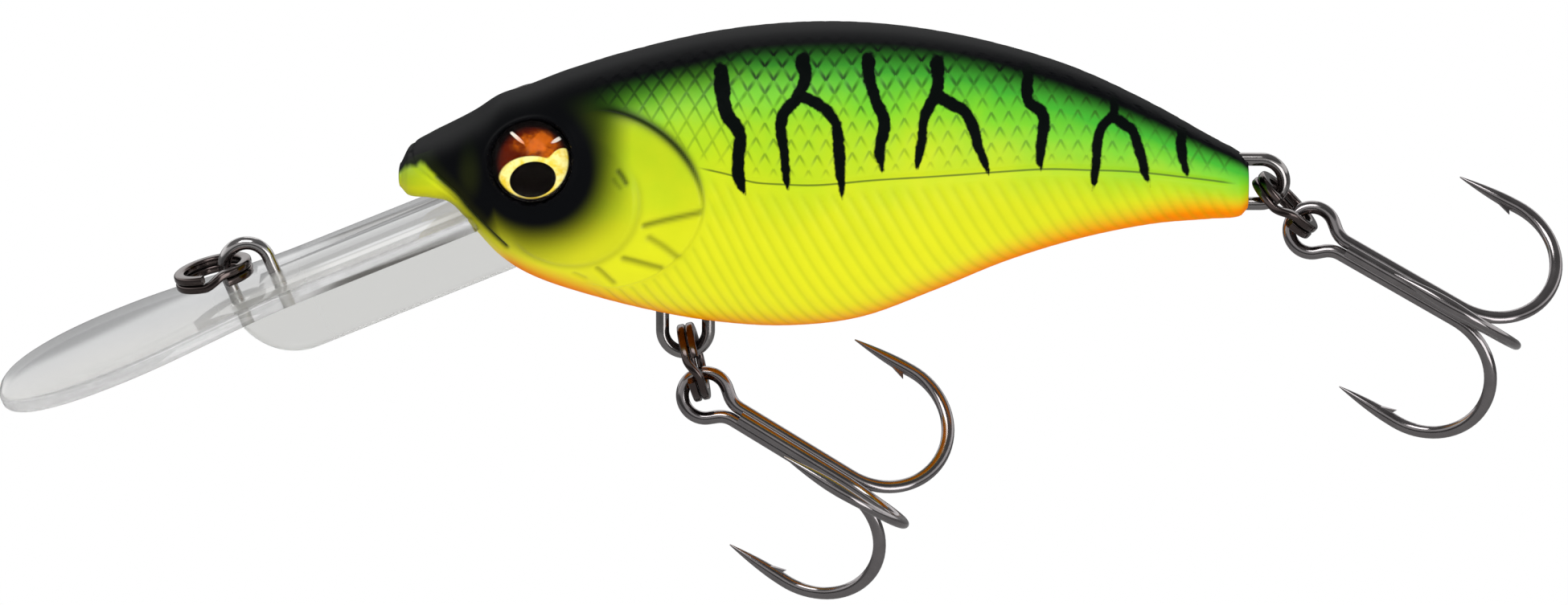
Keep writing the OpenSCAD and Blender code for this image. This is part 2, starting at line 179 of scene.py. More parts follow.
class Nodes:  # adds nodes to a tree; values are sockets or plain numbers
    def __init__(self, tree):
        self.tree = tree

    def add(self, kind, inputs=None, output=0, **settings):  # a new node's output socket
        node = self.tree.nodes.new(kind)
        for key, value in settings.items():
            setattr(node, key, value)
        for key, value in (inputs or {}).items():
            if isinstance(value, bpy.types.NodeSocket):
                self.tree.links.new(value, node.inputs[key])
            else:
                node.inputs[key].default_value = value
        return node.outputs[output] if len(node.outputs) else None

    def calc(self, operation, *values):
        return self.add("ShaderNodeMath", dict(enumerate(values)), operation=operation)

    def plus(self, first, second):
        return self.calc("ADD", first, second)

    def less(self, first, second):
        return self.calc("SUBTRACT", first, second)

    def times(self, first, *others):
        for value in others:
            first = self.calc("MULTIPLY", first, value)
        return first

    def most(self, first, *others):
        for value in others:
            first = self.calc("MAXIMUM", first, value)
        return first

    def step(self, value, low, high, start=0.0, end=1.0):
        inputs = {0: value, 1: low, 2: high, 3: start, 4: end}
        return self.add("ShaderNodeMapRange", inputs, interpolation_type="SMOOTHSTEP")

    def blend(self, tone, *layers):  # masks and colours from the bottom up; three numbers are a screen colour
        for mask, colour in layers:
            tone, colour = (paint(*c) if isinstance(c, tuple) and len(c) == 3 else c for c in (tone, colour))
            tone = self.add("ShaderNodeMix", {0: mask, 6: tone, 7: colour}, 2, data_type="RGBA")
        return tone

    def place(self):
        return self.add("ShaderNodeTexCoord", output="Object")

    def noise(self, place, scale, detail):
        return self.add("ShaderNodeTexNoise", {"Vector": place, "Scale": scale, "Detail": detail})


def newMaterial(name, **sockets):
    material = bpy.data.materials.new(name)
    material.use_nodes = True
    shader = material.node_tree.nodes["Principled BSDF"]
    for key, value in sockets.items():
        shader.inputs[key.replace("_", " ")].default_value = value
    return material, shader, Nodes(material.node_tree)


def plug(node, label, value):
    node.id_data.links.new(value, node.inputs[label])


def growingTree(name, inputs):
    tree = bpy.data.node_groups.new(name, "GeometryNodeTree")
    tree.interface.new_socket("Geometry", in_out="INPUT", socket_type="NodeSocketGeometry")
    for label, kind in inputs.items():
        tree.interface.new_socket(label, in_out="INPUT", socket_type="NodeSocket" + kind)
    tree.interface.new_socket("Geometry", in_out="OUTPUT", socket_type="NodeSocketGeometry")
    n = Nodes(tree)
    return n, n.add("NodeGroupInput").node.outputs


def closeTree(n, geometry, material):  # every tree ends alike
    real = n.add("GeometryNodeRealizeInstances", {"Geometry": geometry})
    n.add("NodeGroupOutput", {0: n.add("GeometryNodeSetMaterial", {"Geometry": real, "Material": material})})
    return n.tree


def namedField(n, name, kind="FLOAT"):
    return n.add("GeometryNodeInputNamedAttribute", {"Name": name}, data_type=kind)


def pushed(n, geometry, axis, distance):
    offset = n.add("ShaderNodeVectorMath", {0: axis, "Scale": distance}, operation="SCALE")
    return n.add("GeometryNodeSetPosition", {"Geometry": geometry, "Offset": offset})


def grow(piece, tree, values):
    modifier = piece.modifiers.new(tree.name, "NODES")
    modifier.node_group = tree
    for item in tree.interface.items_tree:
        if item.in_out == "INPUT" and item.name in values:
            modifier[item.identifier] = values[item.name]
    evaluated(piece)


# Body skin
bodyForm = Form({
    "length": 70.0, "width": 18.6, "noseX": 12.8, "widestAt": 0.52, "sectionPower": 2.4, "rings": 400, "sides": 184,
    "headRings": 0.6, "domeRings": 7, "domeTip": 0.03, "noseDome": 0.2, "tailDome": 0.12,
    "wall": 1.3, "hollow": (0.24, 0.87), "innerSides": 20, "sharpFrom": 70,
    # share of the length, top, bottom, half width as a share of the widest
    "stations": [
        (0.000, 8.6, 7.0, 0.24), (0.010, 9.8, 6.5, 0.45), (0.035, 10.75, 6.5, 0.63), (0.060, 11.6, 6.1, 0.73),
        (0.088, 12.75, 3.8, 0.81), (0.116, 14.1, 1.55, 0.865), (0.150, 14.95, -0.1, 0.905),
        (0.200, 16.35, -1.5, 0.94), (0.286, 18.2, -3.2, 0.985), (0.371, 19.6, -4.33, 1.0), (0.457, 20.35, -4.7, 1.0),
        (0.543, 20.42, -4.0, 0.955), (0.629, 19.77, -1.77, 0.86), (0.714, 18.5, 0.7, 0.73),
        (0.800, 16.57, 2.55, 0.58), (0.886, 13.72, 3.75, 0.43), (0.957, 10.9, 4.15, 0.31), (0.991, 9.6, 4.35, 0.25),
        (1.000, 8.95, 5.0, 0.19)],
})


def stationCurve(t, column):
    rows = np.array(bodyForm.stations)
    share, value = rows[:, 0], rows[:, column]
    k = np.arange(len(share))
    before, after = np.maximum(k - 1, 0), np.minimum(k + 1, len(k) - 1)
    slope = (value[after] - value[before]) / (share[after] - share[before])
    i = np.clip(np.searchsorted(share, t) - 1, 0, len(share) - 2)
    d = share[i + 1] - share[i]
    u = (t - share[i]) / d
    return ((2 * u**3 - 3 * u**2 + 1) * value[i] + (u**3 - 2 * u**2 + u) * d * slope[i]
            + (3 * u**2 - 2 * u**3) * value[i + 1] + (u**3 - u**2) * d * slope[i + 1])


def sectionAt(t, inset=0.0):  # top, bottom, widest level and half width
    top, low = stationCurve(t, 1) - inset, stationCurve(t, 2) + inset
    return top, low, low + bodyForm.widestAt * (top - low), stationCurve(t, 3) * bodyForm.width / 2 - inset


def halfWidth(x, z):
    top, low, middle, side = sectionAt((x - bodyForm.noseX) / bodyForm.length)
    rise = top - middle if z > middle else middle - low
    n = bodyForm.sectionPower
    return float(side * (1 - min(1, abs(z - middle) / rise) ** n) ** (1 / n))


def skinGrid(t, sides, inset=0.0):  # rings of points on the left half, and their girth from -1 to 1
    angle = np.linspace(-90, 90, sides + 1)
    a = np.radians(angle)[None, :]
    power = 2 / bodyForm.sectionPower
    top, low, middle, side = (v[:, None] for v in sectionAt(t, inset))
    z = middle + np.where(a > 0, top - middle, middle - low) * np.sign(a) * np.abs(np.sin(a)) ** power
    y = -side * np.abs(np.cos(a)) ** power
    y[:, 0] = y[:, -1] = 0
    x = (bodyForm.noseX + t * bodyForm.length)[:, None] + 0 * a
    return np.stack([x, y, z], -1), angle / 90


eyeForm = Form({
    "x": 23.6, "z": 11.2, "socketRadius": 3.4, "socketDepth": 1.52, "socketWall": (0.12, -0.02), "reachIn": 4.0,
    "rimWidth": 0.7, "rimFlat": 0.2, "rimRise": 0.14, "paintedRim": (3.8, 3.5),
    "lensRadius": 3.35, "lensThick": 1.5, "lensEdge": 0.45, "irisThick": 0.5, "gap": 0.02, "depth": 1.5,
    "facets": 96, "irisRings": 8, "lensRings": 14, "sharpFrom": 30,
})
eyeY = halfWidth(eyeForm.x, eyeForm.z)
eyeYaw = math.atan((halfWidth(eyeForm.x + 1, eyeForm.z) - halfWidth(eyeForm.x - 1, eyeForm.z)) / 2)
eyeRise = math.atan((halfWidth(eyeForm.x, eyeForm.z - 1) - halfWidth(eyeForm.x, eyeForm.z + 1)) / 2)
eyeFrame = (shifted(eyeForm.x, -eyeY, eyeForm.z) @ Matrix.Rotation(-eyeYaw, 4, "Z")
            @ Matrix.Rotation(math.pi / 2 - eyeRise, 4, "X"))

mouthLine = [(17.4, 8.0), (18.3, 6.8), (19.1, 5.9), (20.0, 5.0), (20.9, 4.1), (21.5, 3.5)]

# Moulded relief, in millimetres on the side view; edges are shares of the radius, rows of four rise and fall
reliefForm = Form({
    "partingFade": 0.6, "flankEnds": (28, 30, 81, 82.5), "flankGill": (1.03, 1.1),
    "scalesFrom": (0.4, 1.6), "scalesTop": (0.9, 0.72), "ribsFrom": (-0.4, -1.4), "ribsLow": (-0.9, -0.6),
    "gillCentre": (29.55, 7.2), "gillRadius": 8.27, "gillFlat": 0.06, "gillTuck": 1.3, "gillTuckZ": (8, 0.5),
    "gillStep": 0.38, "gillRise": (0.55, 0.97, 0.985, 1.02), "gillFrom": (28.0, 30.5),
    # the gill line and cheek values also set painted shade along the gill edge's groove and the cheek's step
    "gillLine": 0.32, "gillLineAt": 1.01, "gillLineGrow": (0.5, 0.9), "gillLineZ": (7, 14), "gillDarkZ": (5, 12),
    "cheekCentre": (26.7, 7.9), "cheekRadius": 5.7, "cheekStep": 0.3, "cheekRise": (0.55, 0.9, 0.93, 1.06),
    "cheekFront": (-2, 1.5), "cheekTop": (4, 0.5), "cheekLineAt": 1.04, "cheekDark": 0.2,
    "lateralDepth": 0.12, "lateralWidth": 0.22, "lateralEnds": (37.2, 38.6, 80.5, 82),
    "lateral": [(37.0, 11.0), (38.3, 10.7), (40.0, 10.3), (41.9, 9.7), (44.3, 9.5), (47.3, 9.4), (51.9, 9.7),
                (56.5, 9.8), (62.0, 9.9), (66.0, 9.9), (69.4, 9.6), (73.3, 9.2), (77.9, 8.4), (81.6, 7.7)],
    # lines: points, depth, painted shade in the crease, width
    "lines": {
        "noseCrease": ([(13.5, 10.0), (14.2, 9.6), (14.8, 9.3), (15.8, 8.7), (16.8, 7.9), (17.5, 7.2)],
                       0.12, 0.0, 0.16),
        "mouth": ([(15.9, 9.35)] + mouthLine, 0.28, 1.0, 0.24),
        "rayOne": ([(33.0, 5.9), (35.4, 6.6), (37.6, 7.2)], 0.26, 0.62, 0.26),
        "rayTwo": ([(33.4, 4.8), (34.6, 4.1), (35.7, 3.3)], 0.22, 0.45, 0.3),
        "rayThree": ([(31.3, 2.9), (32.8, 2.6), (34.3, 2.3)], 0.24, 0.55, 0.28),
        "rayFour": ([(29.1, 1.9), (29.7, 1.4), (30.4, 0.8)], 0.2, 0.45, 0.26),
        "rayFive": ([(27.2, 1.2), (27.6, 1.0), (28.0, 0.8)], 0.12, 0.2, 0.24),
        "tickOne": ([(30.9, 10.5), (31.2, 10.1), (31.5, 9.6)], 0.18, 0.75, 0.22),
        "tickTwo": ([(30.5, 9.8), (30.7, 9.5), (31.0, 9.2)], 0.12, 0.35, 0.2),
    },
})
scaleForm = {"Scale width": 1.43, "Scale height": 2.5, "Scale depth": 0.09,
             "Rib spacing": 1.23, "Rib slant": 0.53, "Rib depth": 0.12}

# Where the paint lies: edges in girth, the rest in millimetres on the side view
paintForm = Form({
    "backEdge": (0.46, 0.82), "headSoft": 0.14, "headSoftTo": (37, 28), "headBack": 0.06, "headBackTo": (42, 37),
    "tailBack": 0.14, "tailFrom": (55, 74), "tailGreen": 0.22, "headGreen": 0.35, "headX": (30, 27),
    "headGill": (1.03, 0.97), "neckGreen": 0.68, "neckGreenTo": (34, 54), "cheekDull": 0.14, "cheekEdge": (1.04, 0.9),
    "coverDull": 0.12, "coverFrom": (-0.2, 0.3), "bellyFrom": (20, 22.5), "bellyEdge": (-0.52, -0.84),
    "tailBelly": (48, 78), "tailBellyEdge": (-0.2, -0.7), "chinBelly": 0.15, "chinTo": (36, 22),
    "tailEndBelly": 0.18, "tailEndFrom": (72, 80),
    # soft black spots: centre, outer and inner radius, strength
    "eyeShades": [((23.9, 10.6), (9.0, 4.6), 1.0), ((27.5, 14.7), (5.8, 1.5), 0.72)],
    # black snout above the mouth, with a faint painted highlight on it where the eye socket's ridge catches light
    "snoutSteps": [(0.985, (-0.15, 0.35)), (0.015, (0.3, 1.8))], "snoutFade": (22.6, 18.0), "snoutLean": (0.5, 2.3),
    "olive": 0.016, "oliveAt": (18.6, 9.8), "oliveSize": (1.3, 2.8), "oliveEdge": (1.0, 0.1),
    "snoutEdge": [(12.4, 8.5), (12.8, 8.6), (13.6, 9.3), (14.1, 9.5), (14.5, 9.8), (14.9, 9.8),
                  (15.8, 9.3)] + mouthLine,
    # bars: x, z, half width
    "bars": [
        [(39.3, 18.06, 0.59), (39.4, 17.1, 0.65), (39.5, 16.04, 0.61), (39.8, 15.08, 0.57), (40.5, 14.22, 0.57),
         (40.9, 13.45, 0.52), (40.8, 12.29, 0.55), (40.7, 11.13, 0.55), (40.8, 9.87, 0.5), (41.1, 9.1, 0.26),
         (41.4, 8.33, -0.06)],
        [(46.0, 18.86, 0.63), (46.2, 18.09, 0.57), (46.0, 17.22, 0.48), (45.2, 16.04, 0.48), (44.5, 15.35, 0.48),
         (44.2, 14.38, 0.48), (44.3, 13.32, 0.44), (44.5, 12.15, 0.42), (44.6, 10.8, 0.38), (44.7, 9.63, 0.24),
         (44.9, 8.67, -0.06)],
        [(46.0, 16.54, 0.48), (47.2, 15.97, 0.46), (48.0, 15.4, 0.44), (48.6, 14.63, 0.44), (48.9, 13.47, 0.48),
         (49.0, 12.11, 0.48), (49.1, 10.56, 0.46), (49.2, 9.2, 0.28), (49.3, 7.72, -0.06)],
        [(51.4, 18.85, 0.59), (51.4, 18.07, 0.52), (51.7, 17.0, 0.48), (52.1, 15.93, 0.48), (52.6, 14.87, 0.5),
         (52.7, 13.89, 0.5), (52.4, 12.73, 0.5), (52.3, 11.76, 0.42), (52.5, 10.89, 0.24), (52.6, 10.01, -0.06)],
        [(57.02, 18.48, 0.59), (57.12, 17.7, 0.52), (57.02, 16.73, 0.48), (56.32, 15.37, 0.48), (55.92, 14.5, 0.44),
         (55.82, 13.53, 0.4), (55.72, 12.55, 0.4), (55.52, 11.58, 0.34), (55.42, 10.81, 0.18), (55.42, 10.12, -0.06)],
        [(57.02, 16.34, 0.48), (58.32, 15.64, 0.5), (59.32, 14.95, 0.48), (59.92, 13.88, 0.48), (60.22, 12.9, 0.44),
         (60.52, 11.84, 0.4), (60.92, 10.87, 0.32), (61.22, 10.09, 0.22), (61.42, 9.4, -0.06)],
        [(64.55, 17.34, 0.46), (64.45, 16.38, 0.51), (64.65, 15.41, 0.46), (65.55, 14.64, 0.51), (65.85, 13.77, 0.51),
         (65.65, 12.52, 0.46), (65.55, 11.36, 0.42), (65.55, 10.5, 0.29), (65.75, 9.52, -0.06)],
        [(71.6, 14.71, 0.36), (71.6, 13.95, 0.4), (70.6, 12.99, 0.42), (70.3, 12.03, 0.42), (70.2, 10.78, 0.42),
         (70.1, 9.63, 0.38), (70.0, 8.53, 0.25), (69.9, 7.63, -0.06)],
        [(71.5, 13.75, 0.38), (72.7, 12.98, 0.42), (73.3, 12.3, 0.42), (73.7, 11.15, 0.42), (74.0, 10.19, 0.42),
         (74.3, 8.95, 0.32), (74.7, 7.75, -0.06)],
        [(77.3, 11.92, 0.46), (77.2, 11.17, 0.46), (77.3, 10.21, 0.42), (77.6, 9.16, 0.29), (77.9, 8.21, -0.06)],
    ],
})


def halfSkin():  # points, normals and girth of the left half, domes at both ends
    u = np.linspace(0, 1, bodyForm.rings + 1)
    t = u * (bodyForm.headRings + (1 - bodyForm.headRings) * u)  # closer rings on the head
    points, girth = skinGrid(t, bodyForm.sides)
    dome = np.radians(np.linspace(0, 90, bodyForm.domeRings + 1)[:-1])
    shrink = np.maximum(np.sin(dome), bodyForm.domeTip)
    ends = []
    for ring, bulge in ((points[0], -bodyForm.noseDome), (points[-1], bodyForm.tailDome)):
        centre = ring.mean(0) * (1, 0, 1)
        ends.append([centre + (ring - centre) * s + (bulge * math.cos(d), 0, 0) for s, d in zip(shrink, dome)])
    points = np.concatenate([ends[0], points, ends[1][::-1]])
    normal = np.cross(np.gradient(points, axis=0), np.gradient(points, axis=1))
    normal /= np.maximum(np.linalg.norm(normal, axis=-1, keepdims=True), 1e-9)
    normal[:, (0, -1), 1] = 0
    return points, normal, np.broadcast_to(girth, points.shape[:2])


def paintFields(x, z, girth, gill, cheek):
    f = paintForm
    bars = np.full(x.shape, 9.0)
    for rows in f.bars:
        away, beside = lineDistance(x, z, curveThrough(rows))
        bars = np.minimum(bars, away - beside[..., 2])

    tailPart = smooth(*f.tailFrom, x)
    backFrom = f.backEdge[0] - f.headSoft * smooth(*f.headSoftTo, x)
    back = girth + f.tailBack * tailPart + f.headBack * smooth(*f.headBackTo, x)
    shade = np.maximum(smooth(backFrom, f.backEdge[1], back), f.cheekDull * smooth(*f.cheekEdge, cheek))
    for (spotX, spotZ), radii, strength in f.eyeShades:
        shade = 1 - (1 - shade) * (1 - strength * smooth(*radii, np.hypot(x - spotX, z - spotZ)))
    aboveMouth = z - np.interp(x, *np.array(f.snoutEdge).T)
    snout = sum(part * smooth(*reach, aboveMouth) for part, reach in f.snoutSteps)
    snout = snout * smooth(*f.snoutFade, x - f.snoutLean[0] * (z - f.snoutLean[1]))
    # a faint painted highlight lifts the black where the eye socket's ridge catches light
    fromRidgeHighlight = np.hypot((x - f.oliveAt[0]) / f.oliveSize[0], (z - f.oliveAt[1]) / f.oliveSize[1])
    shade = np.maximum(shade, snout) - f.olive * smooth(*f.oliveEdge, fromRidgeHighlight)
    onHead = np.maximum(smooth(*f.headGill, gill), smooth(*f.headX, x))
    shade = np.maximum(shade, f.coverDull * onHead * smooth(*f.coverFrom, girth))

    neckGreen = f.neckGreen + (1 - f.neckGreen) * smooth(*f.neckGreenTo, x)
    green = np.where(girth > 0, neckGreen * (1 - onHead) + f.headGreen * onHead, 1)
    tone = (girth + f.tailGreen * tailPart) * green
    tail = smooth(*f.tailBelly, x)
    lift = f.chinBelly * smooth(*f.chinTo, x) + f.tailEndBelly * smooth(*f.tailEndFrom, x)
    low, high = ((1 - tail) * a + tail * b + lift for a, b in zip(f.bellyEdge, f.tailBellyEdge))
    return {"tone": tone, "bars": bars, "shade": shade, "belly": smooth(low, high, girth) * smooth(*f.bellyFrom, x)}


def bodyHalf():  # moulded points of the left half, and the fields that its paint needs
    points, normal, girth = halfSkin()
    x, y, z = (points[..., k] for k in range(3))
    f, e = reliefForm, eyeForm
    side = smooth(0, f.partingFade, -y)  # relief dies out at the parting plane
    gillRadius = f.gillRadius - f.gillTuck * smooth(*f.gillTuckZ, z)  # the cover tucks in at its lower edge
    gillZ = z - f.gillCentre[1]
    gill = np.hypot(x - f.gillCentre[0], gillZ + f.gillFlat * np.maximum(gillZ, 0)) / gillRadius
    gillLength = smooth(*f.gillFrom, x)
    relief = f.gillStep * between(gill, *f.gillRise) * gillLength
    gillLine = f.gillLine * (f.gillLineGrow[0] + f.gillLineGrow[1] * smooth(*f.gillLineZ, z))
    # painted shade in the groove under the gill cover's edge, stronger towards the top
    groove = bell((gill - f.gillLineAt) * gillRadius, gillLine) * gillLength * smooth(*f.gillDarkZ, z)
    cheekX, cheekZ = x - f.cheekCentre[0], z - f.cheekCentre[1]
    cheek = np.hypot(cheekX, cheekZ) / f.cheekRadius
    cheekPart = smooth(*f.cheekFront, cheekX - cheekZ) * smooth(*f.cheekTop, cheekZ)
    relief = relief + f.cheekStep * between(cheek, *f.cheekRise) * cheekPart
    # painted shade along the cheek's step
    cheekLine = f.cheekDark * bell((cheek - f.cheekLineAt) * f.cheekRadius, f.gillLine)
    groove = np.maximum(groove, cheekLine * cheekPart)
    # each line is sunk into the skin and gets its painted shade
    for rows, depth, paintedShade, width in f.lines.values():
        profile = bell(lineDistance(x, z, curveThrough(rows))[0], width)
        relief = relief - depth * profile
        groove = np.maximum(groove, paintedShade * profile)
    lineZ = np.interp(x, *curveThrough(f.lateral).T)
    lateralPart = between(x, *f.lateralEnds)
    relief = relief - f.lateralDepth * bell(z - lineZ, f.lateralWidth) * lateralPart

    toEye = eyeFrame.inverted()
    local = movedBy(toEye, points)
    fromEye = np.hypot(local[..., 0], local[..., 1])
    away = np.where(local[..., 2] > -e.reachIn, fromEye, 99)  # the far side stays out
    rim = smooth(e.socketRadius + e.rimWidth, e.socketRadius + e.rimFlat, away)
    relief = relief * (1 - rim) + e.rimRise * rim
    moved = points + normal * (relief * side)[..., None]
    floorGap = -e.socketDepth - movedBy(toEye, moved)[..., 2]
    sunk = smooth(*(e.socketRadius + w for w in e.socketWall), away) * floorGap
    moved = moved + sunk[..., None] * np.array(eyeFrame)[:3, 2]

    lengths = np.linalg.norm(np.diff(points, axis=1), axis=-1)
    arc = np.concatenate([np.zeros((len(points), 1)), np.cumsum(lengths, 1)], 1)
    arc = arc - np.array([np.interp(lz[0], row, a) for lz, row, a in zip(lineZ, z, arc)])[:, None]
    flank = smooth(*f.flankGill, gill) * between(x, *f.flankEnds) * side
    return moved, {
        **paintFields(x, z, girth, gill, cheek), "flankLength": x, "flankGirth": arc,
        "lateral": lateralPart, "groove": groove * (1 - rim) * side, "eyeRim": smooth(*e.paintedRim, fromEye),
        "scales": flank * smooth(*f.scalesFrom, arc) * smooth(*f.scalesTop, girth),
        "ribs": flank * smooth(*f.ribsFrom, arc) * smooth(*f.ribsLow, girth),
    }


def halfFaces(rings, sides, hollowFrom, hollowTo, innerSides):  # skin, lining and the parting face between them
    outer = np.arange(rings * sides).reshape(rings, sides)
    a = np.stack([outer[:-1, :-1], outer[1:, :-1], outer[1:, 1:], outer[:-1, 1:]], -1).reshape(-1, 4).tolist()
    inner = np.arange((hollowTo - hollowFrom + 1) * (innerSides + 1)).reshape(-1, innerSides + 1) + rings * sides
    a += np.stack([inner[:-1, :-1], inner[:-1, 1:], inner[1:, 1:], inner[1:, :-1]], -1).reshape(-1, 4).tolist()
    for i in range(rings - 1):
        near, far = outer[i], outer[i + 1]
        if i + 1 < hollowFrom or i > hollowTo:
            a.append([near[0], near[-1], far[-1], far[0]])
        elif i + 1 == hollowFrom:
            a.append([near[0], near[-1], far[-1], inner[0][-1], inner[0][0], far[0]])
        elif i == hollowTo:
            a.append([near[0], inner[-1][0], inner[-1][-1], near[-1], far[-1], far[0]])
        else:
            k = i - hollowFrom
            a += [[near[end], inner[k][end], inner[k + 1][end], far[end]] for end in (0, -1)]
    return a + [outer[0], outer[-1], inner[0], inner[-1]]


def scaleCells(n, length, girth, width, height):  # place in a lozenge, from its top corner down
    across, down = n.calc("DIVIDE", length, width), n.calc("DIVIDE", girth, n.times(height, -1.0))
    return n.calc("FRACT", n.plus(down, across)), n.calc("FRACT", n.less(down, across))


def ribHollow(n, length, girth, spacing, slant):  # 0 on a rib's crest, 1 between two ribs
    phase = n.calc("FRACT", n.calc("DIVIDE", n.plus(length, n.times(girth, slant)), spacing))
    return n.calc("ABSOLUTE", n.calc("MULTIPLY_ADD", phase, 2.0, -1.0))


def scaleTree():
    n, given = growingTree("mouldedFlank", {**{label: "Float" for label in scaleForm}, "Paint": "Material"})
    length, girth = namedField(n, "flankLength"), namedField(n, "flankGirth")
    p, q = scaleCells(n, length, girth, given["Scale width"], given["Scale height"])
    fall = n.times(n.less(1.0, p), n.less(1.0, q))
    scale = n.times(n.less(0.6, fall), namedField(n, "scales"), given["Scale depth"])
    hollow = n.calc("POWER", ribHollow(n, length, girth, given["Rib spacing"], given["Rib slant"]), 3.0)
    rib = n.times(hollow, namedField(n, "ribs"), given["Rib depth"])
    moved = pushed(n, given["Geometry"], n.add("GeometryNodeInputNormal"), n.times(n.less(scale, rib), mm))
    return closeTree(n, moved, given["Paint"])


# Body colours; rows of two or four are from, to, and the values there
inkForm = Form({
    "ramp": [(0.08, (250, 222, 16)), (0.28, (238, 236, 28)), (0.46, (218, 224, 22)), (0.56, (186, 216, 22)),
             (0.68, (122, 204, 36)), (0.78, (68, 178, 46))],
    # painted shade in the hollows between the belly ribs takes the olive (150, 170, 16) below
    "belly": (250, 136, 0), "netLow": (52, 96, 16), "netHigh": (20, 46, 12), "valley": (150, 170, 16),
    # painted shade in the creases takes the dark olive (24, 34, 12) below
    "lateral": (50, 80, 16), "back": (12, 13, 15), "bars": (9, 13, 12), "groove": (24, 34, 12),
    "eyeRim": (14, 14, 16), "roughness": 0.4, "gloss": (0.2, 1.0, 0.16, 0.01), "coarse": (260.0, 3.0),
    "fine": (1500.0, 2.0), "drift": 0.12, "highFrom": (5.5, 8.5),
    "vee": (0.0, 0.85, 0.1, 1.0), "caret": (0.1, 0.9, 1.0, 0.0),
    "netWidth": (0.0, 1.0, 0.14, 0.2), "netCore": 0.02, "neckNet": (44.0, 38.0, 0.0, 0.8), "tailNet": (72.0, 78.0),
    "patches": (0.3, 0.65, 0.6, 1.0), "netFade": (2.0, 9.0, 0.5, 1.0), "valleyFrom": (0.35, 1.0), "valleyShare": 0.19,
    "lateralWidth": (0.13, 0.03), "lateralShare": 0.75, "barEdge": (0.1, -0.1), "barRagged": 0.36,
})


def bodyPaint():
    f = inkForm
    material, shader, n = newMaterial("bodyPaint", Roughness=f.roughness)

    def field(name):
        return n.add("ShaderNodeAttribute", output="Fac", attribute_name=name)

    length, girth, shade, belly, eyeRim = map(field, ("flankLength", "flankGirth", "shade", "belly", "eyeRim"))
    coarse, fine = n.noise(n.place(), *f.coarse), n.noise(n.place(), *f.fine)
    drift = n.times(n.less(coarse, 0.5), f.drift)
    ramp = n.add("ShaderNodeValToRGB", {0: n.plus(n.calc("MULTIPLY_ADD", field("tone"), 0.5, 0.5), drift)})
    stops = ramp.node.color_ramp.elements
    stops.remove(stops[1])
    for k, (share, tone) in enumerate(f.ramp):
        stop = stops.new(share) if k else stops[0]
        stop.position, stop.color = share, paint(*tone)

    p, q = scaleCells(n, length, girth, scaleForm["Scale width"], scaleForm["Scale height"])
    high = n.step(girth, *f.highFrom)
    full = n.most(n.step(length, *f.neckNet), n.step(length, *f.tailNet))
    arms = []
    for a, b in ((p, q), (q, p)):
        vee, caret = n.step(b, *f.vee), n.step(b, *f.caret)  # vees under the back, carets lower down
        part = n.plus(caret, n.times(high, n.less(vee, caret)))
        line = n.step(n.calc("MINIMUM", a, n.less(1.0, a)), n.step(high, *f.netWidth), f.netCore)
        arms.append(n.times(line, n.most(part, full)))
    net = n.times(n.most(*arms), field("scales"), n.step(coarse, *f.patches), n.step(girth, *f.netFade))
    hollow = ribHollow(n, length, girth, scaleForm["Rib spacing"], scaleForm["Rib slant"])
    # painted shade in the hollows between the belly ribs
    valley = n.times(n.step(hollow, *f.valleyFrom), field("ribs"), f.valleyShare)
    line = n.times(n.step(n.calc("ABSOLUTE", girth), *f.lateralWidth), field("lateral"), f.lateralShare)
    bar = n.step(n.plus(field("bars"), n.times(n.less(fine, 0.5), f.barRagged)), *f.barEdge)
    tone = n.blend(ramp, (belly, f.belly), (net, n.blend(f.netLow, (high, f.netHigh))), (valley, f.valley),
                   (line, f.lateral), (shade, f.back), (bar, f.bars), (field("groove"), f.groove), (eyeRim, f.eyeRim))
    plug(shader, "Base Color", tone)
    plug(shader, "Specular IOR Level", n.step(n.most(shade, bar, eyeRim, belly), *f.gloss))
    return material


bodyPoints, bodyFields = bodyHalf()
ringX = bodyPoints[:, 0, 0]
hollowX = [bodyForm.noseX + share * bodyForm.length for share in bodyForm.hollow]
hollowFrom, hollowTo = (int(np.searchsorted(ringX, hx)) for hx in hollowX)
hollowAt = (ringX[hollowFrom:hollowTo + 1] - bodyForm.noseX) / bodyForm.length
lining, _ = skinGrid(hollowAt, bodyForm.innerSides, bodyForm.wall)
faces = halfFaces(*bodyPoints.shape[:2], hollowFrom, hollowTo, bodyForm.innerSides)
shellPaint, flankTree = bodyPaint(), scaleTree()
for side, name, node in ((1, "bodyLeft", "body_left_shell"), (-1, "bodyRight", "body_right_shell")):
    verts = np.concatenate([bodyPoints.reshape(-1, 3), lining.reshape(-1, 3)]) * (1, side, 1)
    half = addPiece(name, verts, faces)
    for label, values in bodyFields.items():
        addValues(half, label, np.concatenate([values.ravel(), np.zeros(lining.size // 3)]))
    grow(half, flankTree, {**scaleForm, "Paint": shellPaint})
    softEdges(half, bodyForm.sharpFrom)
    settle(half, shellPaint, "lure_body", "body_paint", node)
print("body halves done:", len(half.data.polygons), "faces each")

# Bent wire
wireForm = Form({"radius": 0.55, "eyeRadius": 1.9, "facets": 20, "bendStep": 5.0, "forgeEase": 6.0, "pointPower": 1.6,
                 "sharpFrom": 50})
eyeR = wireForm.eyeRadius


